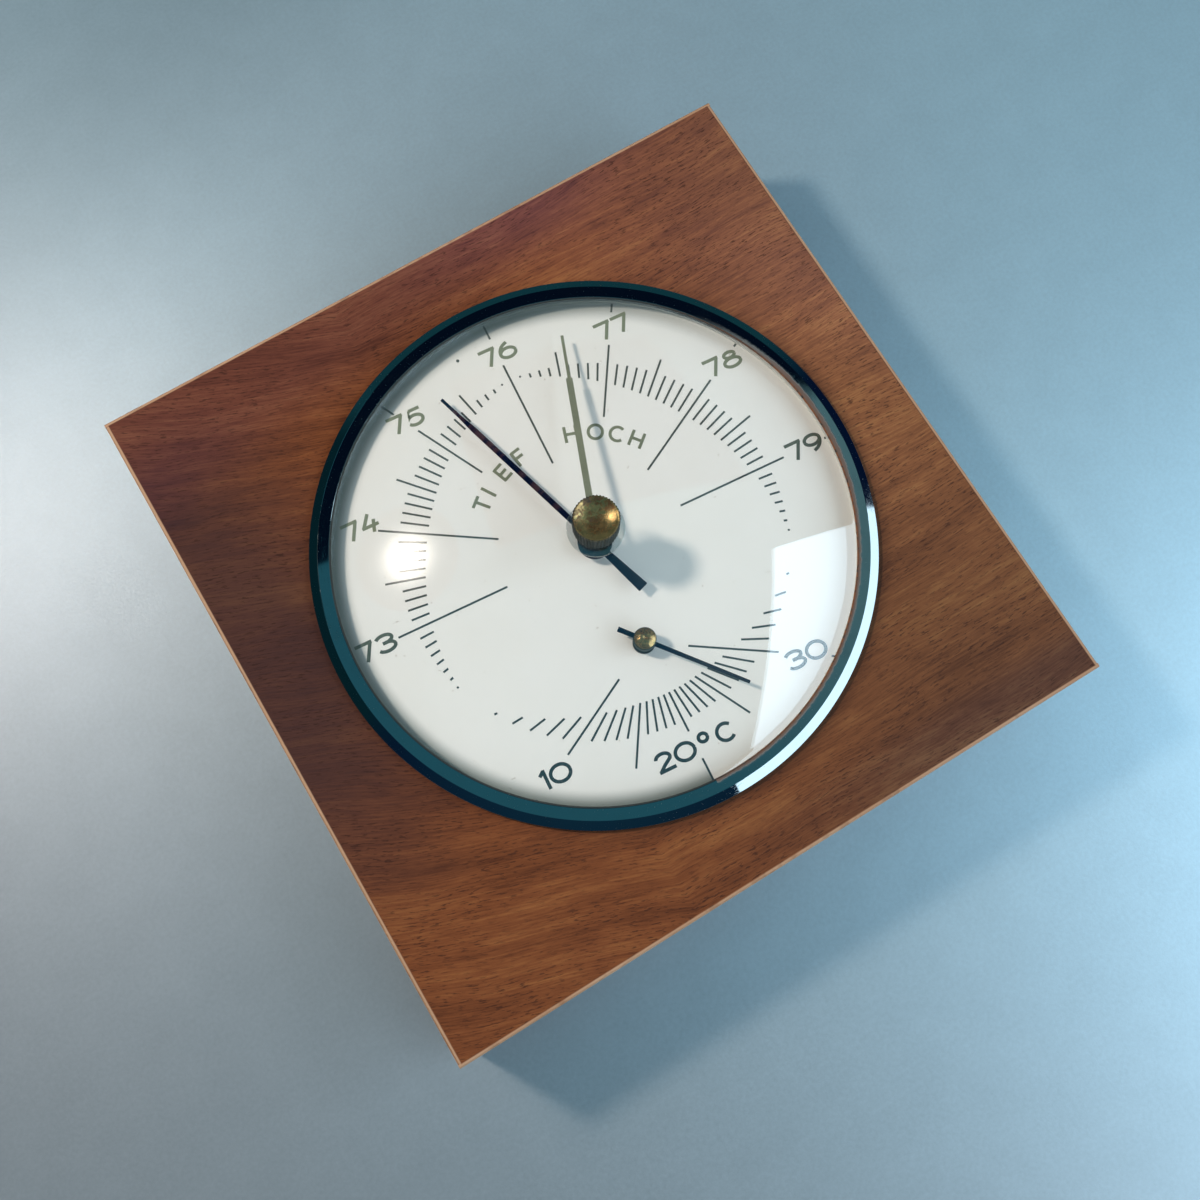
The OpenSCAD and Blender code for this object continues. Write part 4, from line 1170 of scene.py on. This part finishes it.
@dataclass
class BarometerDial:
    """The printed dial and the pressure hand.

    Readings are in units of the pressure scale or, where they run one by one, in tenths of them.
    """

    first: ClassVar[int] = 723
    last: ClassVar[int] = 797
    dotted: ClassVar[tuple[int, ...]] = (723, 759, 761, 797)
    unit_marks: ClassVar[dict[int, Point]] = {
        73: (18.7, 41.6), 74: (18.7, 42.1), 75: (26.6, 42.0), 76: (18.7, 41.6),
        77: (26.6, 42.0), 78: (18.7, 41.6), 79: (18.7, 41.6),
    }
    rim_marks: ClassVar[dict[int, float]] = {75: 47.9, 76: 47.8, 77: 49.1, 78: 50.3, 79: 50.7}
    pivot_marks: ClassVar[dict[int, Point]] = {10: (8.5, 25.8), 20: (10.6, 18.9), 30: (8.5, 25.8)}
    half_marks: ClassVar[dict[int, Point]] = {15: (31.9, 43.8), 25: (31.9, 43.8)}
    foot_mark: ClassVar[Point] = (45.8, 50.6)
    end_tick: ClassVar[tuple[Point, Point]] = ((31.1, -39.3), (32.2, -39.9))
    numbers: ClassVar[dict[str, Point]] = {
        "73": (-46.1, 0.1), "74": (-39.3, 23.1), "75": (-22.4, 39.3), "76": (0.2, 44.3), "77": (23.4, 39.6),
        "78": (39.9, 23.0), "79": (46.4, 0.2), "10": (-25.9, -36.6), "30": (26.9, -36.9),
    }
    degrees_row: ClassVar[tuple[tuple[str, float], ...]] = (("2", -6.7), ("0", -2.35), ("degree", 1.85), ("C", 6.2))
    degrees_y: ClassVar[float] = -43.3
    words: ClassVar[tuple[tuple[str, float], ...]] = (
        ("T", -43.3), ("I", -36.4), ("E", -24.4), ("F", -13.4),
        ("H", 14.4), ("O", 26.4), ("C", 36.8), ("H", 46.9),
    )

    level: float = 30.6
    ink_t: float = 0.03
    layer: float = 0.006
    mark_w: float = 0.40
    numeral_w: float = 0.67
    letter_w: float = 0.60
    top_reading: int = 76
    unit: float = 30.0
    ring: float = 38.0
    half_ring: float = 41.0
    rim_ring: float = 51.0
    swell: float = 5.6
    swell_span: float = 112.5
    dot_r: float = 0.22
    bow_swell: float = 6.1
    bow_span: float = 92.0
    stray_dot: Point = (-7.8, 46.4)
    stray_r: float = 0.33
    letter_ring: float = 23.4
    pivot_y: float = -21.3
    degree: float = 6.0
    hand_z: float = 33.0
    hand_t: float = 0.4
    hand_len: float = 41.8
    tail_len: float = 12.8
    flare_len: float = 3.0
    neck_len: float = 9.0
    tip_len: float = 5.0
    hand_widths: tuple[float, ...] = (2.15, 1.45, 1.12, 1.08, 0.64, 0.6)
    hand_turn: float = math.radians(20.1)
    hub_r: float = 3.35
    socket_r: float = 1.5
    socket_rise: float = 0.5
    socket_top: float = 0.6
    bore_r: float = 0.81

    def _radial(self, pen: Pen, angle: float, inner: float, outer: float) -> None:
        """Draws a line along a radius; the angle is clockwise from the top, in degrees."""
        x, y = math.sin(math.radians(angle)), math.cos(math.radians(angle))
        pen.stroke([(x * inner, y * inner), (x * outer, y * outer)])

    def _pressure_scale(self, pen: Pen) -> None:
        """Draws the pressure scale, ten marks to a unit; the marks are longest between its top and its ends.

        Args:
            pen: the pen of the marks.
        """
        for tenth in range(self.first, self.last + 1):
            reading, part = divmod(tenth, 10)
            angle = (tenth / 10.0 - self.top_reading) * self.unit
            if tenth in self.dotted:
                spot = math.radians(angle)
                pen.dot((self.ring * math.sin(spot), self.ring * math.cos(spot)), self.dot_r)
            elif part == 0:
                self._radial(pen, angle, *self.unit_marks[reading])
                if reading in self.rim_marks:
                    self._radial(pen, angle, self.rim_marks[reading], self.rim_ring)
            else:
                inner = self.ring - self.swell * math.sin(math.radians(180.0 * abs(angle) / self.swell_span))
                half = part == 5 and min(self.unit_marks) <= reading < max(self.unit_marks)
                self._radial(pen, angle, inner, self.half_ring if half else self.ring)

    def _along(self, angle: float, ring: float) -> Point:
        """Gives where a ray from the thermometer's axis meets a ring of the dial.

        Args:
            angle: direction from straight down, towards the right, in degrees.
            ring: radius of the ring about the dial's middle.

        Returns:
            The point.
        """
        way = Vector((math.sin(math.radians(angle)), -math.cos(math.radians(angle))))
        pivot = Vector((0.0, self.pivot_y))
        back = -pivot.dot(way)
        reach = back + math.sqrt(back * back - pivot.dot(pivot) + ring * ring)
        return tuple(pivot + way * reach)

    def _temperature_scale(self, pen: Pen) -> None:
        """Draws the temperature scale, one mark to a degree.

        Args:
            pen: the pen of the marks.
        """
        pivot = Vector((0.0, self.pivot_y))
        for value in range(5, 36):
            angle = (value - 20) * self.degree
            way = Vector((math.sin(math.radians(angle)), -math.cos(math.radians(angle))))
            if value in self.pivot_marks:
                ends = tuple(pivot + way * reach for reach in self.pivot_marks[value])
            elif value in self.half_marks:
                ends = tuple(self._along(angle, ring) for ring in self.half_marks[value])
            else:
                inner = self.ring - self.bow_swell * (1.0 - (abs(angle) / self.bow_span) ** 4)
                ends = (self._along(angle, inner), self._along(angle, self.ring))
            pen.stroke([tuple(end) for end in ends])
        self._radial(pen, 180.0, *self.foot_mark)
        for side in (-1.0, 1.0):
            pen.stroke([(side * x, y) for x, y in self.end_tick])
        pen.dot(self.stray_dot, self.stray_r)

    def _write(self, pen: Pen, glyph: Glyph, centre: Point, turn: float = 0.0) -> None:
        """Draws one glyph.

        Args:
            pen: the pen of the strokes.
            glyph: what is drawn.
            centre: where its middle goes.
            turn: its turn, clockwise in degrees.
        """
        c, s = math.cos(math.radians(turn)), math.sin(math.radians(turn))
        for place, stroke in enumerate(glyph.strokes):
            pen.level = self.level + place * self.layer
            pen.stroke([(centre[0] + x * c + y * s, centre[1] - x * s + y * c) for x, y in stroke])

    def _number(self, pen: Pen, text: str, centre: Point, gap: float = 0.25) -> None:
        """Draws an upright number about its middle.

        Args:
            pen: the pen of the strokes.
            text: its numerals.
            centre: the middle of the number.
            gap: space between the numerals.
        """
        glyphs = [NUMERALS[key] for key in text]
        x = centre[0] - (sum(2.0 * g.half for g in glyphs) + gap * (len(glyphs) - 1)) / 2.0
        for glyph in glyphs:
            self._write(pen, glyph, (x + glyph.half, centre[1]))
            x += 2.0 * glyph.half + gap

    def print_dial(self) -> bpy.types.Object:
        """Prints the scales, numbers and words."""
        marks = Pen(self.level, self.mark_w)
        self._pressure_scale(marks)
        self._temperature_scale(marks)
        figures = Pen(self.level, self.numeral_w)
        for text, centre in self.numbers.items():
            self._number(figures, text, centre)
        for key, x in self.degrees_row:
            self._write(figures, NUMERALS[key], (x, self.degrees_y))
        words = Pen(self.level, self.letter_w)
        for key, angle in self.words:
            way = math.radians(angle)
            centre = (self.letter_ring * math.sin(way), self.letter_ring * math.cos(way))
            self._write(words, LETTERS[key], centre, angle)
        dark = Ink("mark_ink", (0.085, 0.105, 0.095), (0.022, 0.045, 0.05))
        marks.form.thicken(self.ink_t).piece("dial_marks", dark, "dial_white", "case")
        form = figures.form.take(words.form).thicken(self.ink_t)
        return form.piece("dial_figures", Ink("figure_ink"), "dial_white", "case")

    def hand(self) -> bpy.types.Object:
        """Makes the pressure hand with its flared tail and its hub."""
        pen = Pen(self.hand_z, 1.0)
        ends = (-self.tail_len, -self.flare_len, 0.0,
                self.hand_len - self.neck_len, self.hand_len - self.tip_len, self.hand_len)
        pen.stroke([(0.0, y) for y in ends], self.hand_widths)
        blade = pen.form.thicken(self.hand_t).soften(0.06, 1)
        top = self.hand_z + self.hand_t
        hub = Form().lathe([
            (self.bore_r, self.hand_z), (self.hub_r, self.hand_z), (self.hub_r, top), (self.bore_r, top),
        ], SMALL_STEPS).soften(0.08, 2)
        low, high = self.level + self.socket_rise, top + self.socket_top
        hub.take(Form().lathe([
            (self.bore_r, low), (self.socket_r, low), (self.socket_r, high), (self.bore_r, high),
        ], 64).soften(0.08, 2))
        form = blade.take(hub).move(Matrix.Rotation(self.hand_turn, 4, "Z")).smooth(20.0)
        finish = HandLacquer("pressure_hand_lacquer", (0.0, 0.0))
        return form.piece("pressure_pointer", finish, "blued_steel", "pointer", "pressure_hand")


@dataclass
class Movement:
    """The works behind the dial."""

    plates: Finish = Metal("plate_brass", (0.66, 0.50, 0.22), (0.34, 0.23, 0.10), 0.30, 0.4)
    turned: Finish = Metal("turned_brass", (0.70, 0.54, 0.25), (0.33, 0.24, 0.11), 0.20, 0.3, Brush.NONE)
    blued: Finish = Metal("blued_screws", (0.035, 0.06, 0.15), (0.05, 0.04, 0.05), 0.22, 0.3, Brush.NONE)
    steel: Finish = Metal("works_steel", (0.48, 0.50, 0.52), (0.25, 0.20, 0.16), 0.24, 0.35)
    capsule: Finish = Metal("capsule_silver", (0.62, 0.60, 0.55), (0.38, 0.34, 0.27), 0.24, 0.4, Brush.ROUND)

    def dress(self) -> None:
        """Puts the finishes on the movement's nodes."""
        self.plates.dress("base_plate", "top_plate", "arbor_cock", "rocker_bracket", "clamp_plate", "spring_stand")
        self.turned.dress(
            "frame_pillars", "dial_feet", "chain_drum", "hairspring_stud", "capsule_foot", "capsule_post",
            "main_lever",
        )
        self.blued.dress("base_screws", "top_screws", "clamp_screws", "adjusting_screw", "hairspring")
        self.steel.dress("rocking_shaft", "drive_chain", "chain_wrap", "lever_link", "hand_arbor", "leaf_spring")
        self.capsule.dress("capsule_lower", "capsule_upper")
        LOG.info("movement dressed")


@dataclass
class Thermometer:
    """The thermometer's hand, its cap and the works behind it."""

    pivot_y: float = -21.3
    hand_z: float = 33.2
    hand_t: float = 0.4
    length: float = 21.3
    tail: float = 5.45
    widths: Triple = (1.0, 0.9, 0.62)
    turn: float = math.radians(41.8)
    place: Point = (-1.856, -21.219)
    cap_r: float = 2.2
    low_z: float = 32.4
    high_z: float = 35.1
    dome_h: float = 0.7

    def _at(self, form: Form) -> Form:
        """Puts a form on the thermometer's axis."""
        return form.move(Matrix.Translation((0.0, self.pivot_y, 0.0)))

    def hand(self) -> bpy.types.Object:
        """Makes the slim hand."""
        pen = Pen(self.hand_z, 1.0)
        pen.stroke([(0.0, self.tail), (0.0, 0.0), (0.0, -self.length)], self.widths)
        form = pen.form.thicken(self.hand_t).soften(0.06, 1).move(Matrix.Rotation(self.turn, 4, "Z")).smooth(20.0)
        finish = HandLacquer("thermometer_hand_lacquer", self.place, worn=0.0)
        return self._at(form).piece("thermometer_pointer", finish, "blued_steel", "thermometer", "thermometer_hand")

    def cap(self) -> bpy.types.Object:
        """Turns the brass cap with a dimple in its dome."""
        top = self.high_z + self.dome_h
        profile = [
            (0.0, top - 0.32), (0.16, top - 0.26), (0.32, top - 0.06), (0.55, top), (1.05, top - 0.10),
            (1.5, top - 0.32), (1.85, top - 0.60), (2.0, self.high_z), (2.0, self.high_z - 0.35),
            (self.cap_r, self.high_z - 0.5), (self.cap_r, self.low_z + 0.45), (1.75, self.low_z + 0.3),
            (1.75, self.low_z), (0.0, self.low_z),
        ]
        form = Form().lathe(profile, SMALL_STEPS, closed=False).smooth(40.0)
        finish = KnobBrass("cap_brass", self.place, radius=2.15, face_z=self.high_z + 1.0)
        return self._at(form).piece("cap_turned", finish, "brass", "thermometer", "thermometer_cap")

    def dress(self) -> None:
        """Puts the finishes on the thermometer's nodes."""
        Metal("carrier_brass", (0.66, 0.50, 0.22), (0.34, 0.23, 0.10), 0.30, 0.4).dress(
            "thermometer_plate", "thermometer_pillars", "bimetal_stud")
        Metal("bush_black", (0.05, 0.05, 0.052), (0.09, 0.075, 0.06), 0.35, 0.4, Brush.ROUND).dress(
            "thermometer_bush")
        Metal("arbor_steel", (0.50, 0.52, 0.54), (0.26, 0.22, 0.18), 0.2, 0.3, Brush.NONE).dress(
            "thermometer_arbor")
        Metal("bimetal_strip", (0.60, 0.42, 0.26), (0.36, 0.22, 0.13), 0.28, 0.4).dress("bimetal_spiral")
        LOG.info("thermometer dressed")


# Studio


@dataclass
class Studio:
    """Floor, lamps, surroundings and the camera of the photograph, in metres."""

    camera_at: Triple = (-0.0388, -0.05712, 0.2797)
    camera_aim: Triple = (-0.0049, -0.01002, 0.032)
    camera_up: Triple = (0.5314, 0.8786, 0.0)
    lens: float = 39.95
    sensor: float = 36.0
    front: float = 0.032
    floor_half: float = 4.0
    floor_drop: float = 0.00005
    key_at: Triple = (-0.228, 0.229, 0.427)
    key_size: float = 0.062
    sheen_at: Triple = (-0.20, 0.28, 0.427)
    sheen_size: float = 0.2
    glare_way: Triple = (-0.368, 0.461, 0.808)
    glare_from: Triple = (-0.0321, 0.0144, 0.0381)
    glare_distance: float = 0.5
    glare_angle: float = 4.9
    glare_spread: float = 2.2
    flag_at: Triple = (0.12, 0.215, 0.29)
    flag_turn: float = math.radians(34.0)
    flag_r: float = 0.21
    flag_colour: Triple = (0.002, 0.008, 0.022)
    key_light: float = 190.0
    glare_light: float = 9.5
    sheen_light: float = 8.0
    brass_light: float = 95.0
    sheen_colour: Triple = (1.0, 0.74, 0.64)
    key_colour: Triple = (1.05, 0.92, 0.80)
    window_light: float = 2.75
    window_colour: Triple = (0.80, 0.98, 1.12)
    window_out: float = 0.5
    window_side: tuple[float, float] = (-0.546, 0.240)
    window_rise: tuple[float, float] = (0.06, 0.71)
    window_way: float = math.radians(-35.2)
    backdrop: Triple = (0.42, 0.54, 0.61)

    def _lamp(self, name: str, at: Triple, size: float, radiance: float, colour: Triple) -> bpy.types.Object:
        """Makes a round lamp of a given radiance that points at the middle of the block's front.

        Args:
            name: its name.
            at: where it stands.
            size: its diameter.
            radiance: its brightness.
            colour: its colour.

        Returns:
            The lamp.
        """
        place, target = Vector(at), Vector((0.0, 0.0, self.front))
        light = bpy.data.lights.new(name, "AREA")
        light.shape = "DISK"
        light.size = size
        light.color = colour
        light.energy = radiance * math.pi * math.pi * size * size / 4.0
        lamp = bpy.data.objects.new(name, light)
        lamp.matrix_world = Matrix.Translation(place) @ (place - target).to_track_quat("Z", "Y").to_matrix().to_4x4()
        lamp.visible_camera = False
        bpy.context.scene.collection.objects.link(lamp)
        return lamp

    @staticmethod
    def _mirror_in(lamp: bpy.types.Object, group: str, *pieces: bpy.types.Object) -> None:
        """Keeps a lamp's light to the gloss of some pieces.

        Args:
            lamp: the lamp.
            group: name of the pieces' collection.
            pieces: the pieces.
        """
        lamp.visible_diffuse = False
        lit = bpy.data.collections.new(group)
        for piece in pieces:
            lit.objects.link(piece)
        lamp.light_linking.receiver_collection = lit

    def lamps(self, floor: bpy.types.Object) -> None:
        """Hangs the key lamp, which nothing mirrors, and a wide lamp that gives only the floor a sheen.

        Args:
            floor: the floor.
        """
        key = self._lamp("key_lamp", self.key_at, self.key_size, self.key_light, self.key_colour)
        key.visible_glossy = False
        sheen = self._lamp("sheen_lamp", self.sheen_at, self.sheen_size, self.sheen_light, self.sheen_colour)
        self._mirror_in(sheen, "sheen_floor", floor)
        LOG.info("lamps hung")

    def brass_lamp(self, *pieces: bpy.types.Object) -> None:
        """Gives the turned brass its highlight of the key lamp.

        Args:
            pieces: the brass pieces.
        """
        lamp = self._lamp("brass_lamp", self.key_at, self.key_size, self.brass_light, self.key_colour)
        self._mirror_in(lamp, "turned_brass", *pieces)
        LOG.info("brass lamp hung")

    @staticmethod
    def _sheet(name: str, bm: bmesh.types.BMesh, finish: Finish, place: Matrix) -> bpy.types.Object:
        """Makes a piece of the stage from a flat mesh.

        Args:
            name: its name.
            bm: the mesh, which is used up.
            finish: its finish.
            place: its place and turn.

        Returns:
            The object.
        """
        mesh = bpy.data.meshes.new(name)
        bm.to_mesh(mesh)
        bm.free()
        mesh.materials.append(finish.material())
        sheet = bpy.data.objects.new(name, mesh)
        sheet.matrix_world = place
        bpy.context.scene.collection.objects.link(sheet)
        return sheet

    def _card(self, name: str, place: Matrix, radius: float, sides: int, finish: Finish) -> None:
        """Makes a flat card that only polished surfaces show.

        Args:
            name: its name.
            place: its place and turn.
            radius: distance of its corners from its middle.
            sides: number of its sides.
            finish: its finish.
        """
        bm = bmesh.new()
        bmesh.ops.create_circle(bm, cap_ends=True, segments=sides, radius=radius)
        card = self._sheet(name, bm, finish, place)
        card.visible_camera = card.visible_diffuse = card.visible_shadow = False
        card.visible_transmission = False

    def cards(self) -> None:
        """Places the soft glow that the glass mirrors, and the dark shape over the upper side of the ring."""
        start = Vector(self.glare_from)
        place = start + Vector(self.glare_way).normalized() * self.glare_distance
        turn = (start - place).to_track_quat("Z", "Y").to_matrix().to_4x4()
        reach = self.glare_distance * math.tan(math.radians(self.glare_angle))
        glow = Glow("soft_glow", reach, self.glare_light, self.key_colour)
        self._card("glow_card", Matrix.Translation(place) @ turn, reach * self.glare_spread, 48, glow)
        flag = Matrix.Translation(self.flag_at) @ Matrix.Rotation(self.flag_turn, 4, "Z")
        self._card("dark_card", flag, self.flag_r, 4, Glow("dark_shape", 1.0, 1.0, self.flag_colour))
        LOG.info("cards placed")

    def window(self) -> None:
        """Opens the window that lights the right side."""
        out = Vector((math.cos(self.window_way), math.sin(self.window_way), 0.0))
        side = Vector((-out.y, out.x, 0.0))
        wide = self.window_side[1] - self.window_side[0]
        high = self.window_rise[1] - self.window_rise[0]
        place = out * self.window_out + side * (sum(self.window_side) / 2.0)
        place.z = self.front + sum(self.window_rise) / 2.0
        light = bpy.data.lights.new("window", "AREA")
        light.shape = "RECTANGLE"
        light.size, light.size_y = wide, high
        light.color = self.window_colour
        light.energy = self.window_light * math.pi * wide * high
        pane = bpy.data.objects.new("window", light)
        pane.matrix_world = Matrix.Translation(place) @ Matrix((side, (0, 0, 1), out)).transposed().to_4x4()
        pane.visible_camera = False
        bpy.context.scene.collection.objects.link(pane)
        LOG.info("window opened")

    def surroundings(self) -> None:
        """Colours the room: dark walls in navy, murk and teal, blue above the left and pale above the right."""
        world = bpy.data.worlds.new("room")
        world.use_nodes = True
        world.node_tree.nodes.clear()
        n = Nodes(world.node_tree)
        way = n.coords("Generated")
        x, _, z = n.split(way)
        _, angle = n.polar(way)
        navy, murk, teal = (0.003, 0.012, 0.045), (0.004, 0.030, 0.040), (0.012, 0.075, 0.095)
        walls = ((angle + 180.0) / 360.0).ramp(
            (0.0, navy), (0.24, navy), (0.27, murk), (0.44, murk),
            (0.46, teal), (0.67, teal), (0.70, navy), (1.0, navy),
        )
        blue, pale = (0.035, 0.165, 0.22), (0.16, 0.30, 0.33)
        ground, sky = (0.10, 0.12, 0.13), (0.19, 0.225, 0.24)
        mirrored = n.mix(z.step(0.42, 0.85), walls, n.mix(x.step(0.13, 0.25), blue, pale))
        soft = n.mix(z.step(-0.1, 0.9), ground, sky)
        glossy = n.add("ShaderNodeLightPath", output="Is Glossy Ray")
        seen = n.add("ShaderNodeLightPath", output="Is Camera Ray")
        colour = n.mix(seen, n.mix(glossy, soft, mirrored), self.backdrop)
        back = n.add("ShaderNodeBackground", {}, {"Color": colour, "Strength": 1.0})
        n.add("ShaderNodeOutputWorld", {}, {"Surface": back})
        bpy.context.scene.world = world

    def floor(self) -> bpy.types.Object:
        """Lays the floor just under the block."""
        bm = bmesh.new()
        bmesh.ops.create_grid(bm, x_segments=8, y_segments=8, size=self.floor_half)
        bmesh.ops.translate(bm, vec=(0.0, 0.0, -self.floor_drop), verts=bm.verts)
        return self._sheet("floor", bm, FloorPaint("floor_paint"), Matrix())

    def camera(self) -> None:
        """Sets the camera where the photograph was taken."""
        data = bpy.data.cameras.new("camera")
        data.lens = self.lens
        data.sensor_width = self.sensor
        data.clip_start = 0.01
        back = (Vector(self.camera_at) - Vector(self.camera_aim)).normalized()
        right = Vector(self.camera_up).cross(back).normalized()
        camera = bpy.data.objects.new("camera", data)
        turn = Matrix((right, back.cross(right), back)).transposed().to_4x4()
        camera.matrix_world = Matrix.Translation(self.camera_at) @ turn
        bpy.context.scene.collection.objects.link(camera)
        bpy.context.scene.camera = camera
        bpy.context.scene.view_settings.view_transform = "Standard"


def main() -> None:
    """Builds the scene in order."""
    logging.basicConfig(level=logging.INFO, format="%(name)s: %(message)s")
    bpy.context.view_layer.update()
    studio = Studio()
    studio.camera()
    studio.lamps(studio.floor())
    studio.cards()
    studio.window()
    studio.surroundings()
    Block().dress()
    case = Case()
    case.bezel()
    case.glass()
    case.dress()
    setter = Setter()
    setter.washer()
    knob = setter.knob()
    setter.hand()
    setter.dress()
    dial = BarometerDial()
    dial.print_dial()
    dial.hand()
    Movement().dress()
    thermometer = Thermometer()
    thermometer.hand()
    studio.brass_lamp(knob, thermometer.cap())
    thermometer.dress()


if __name__ == "__main__":
    main()
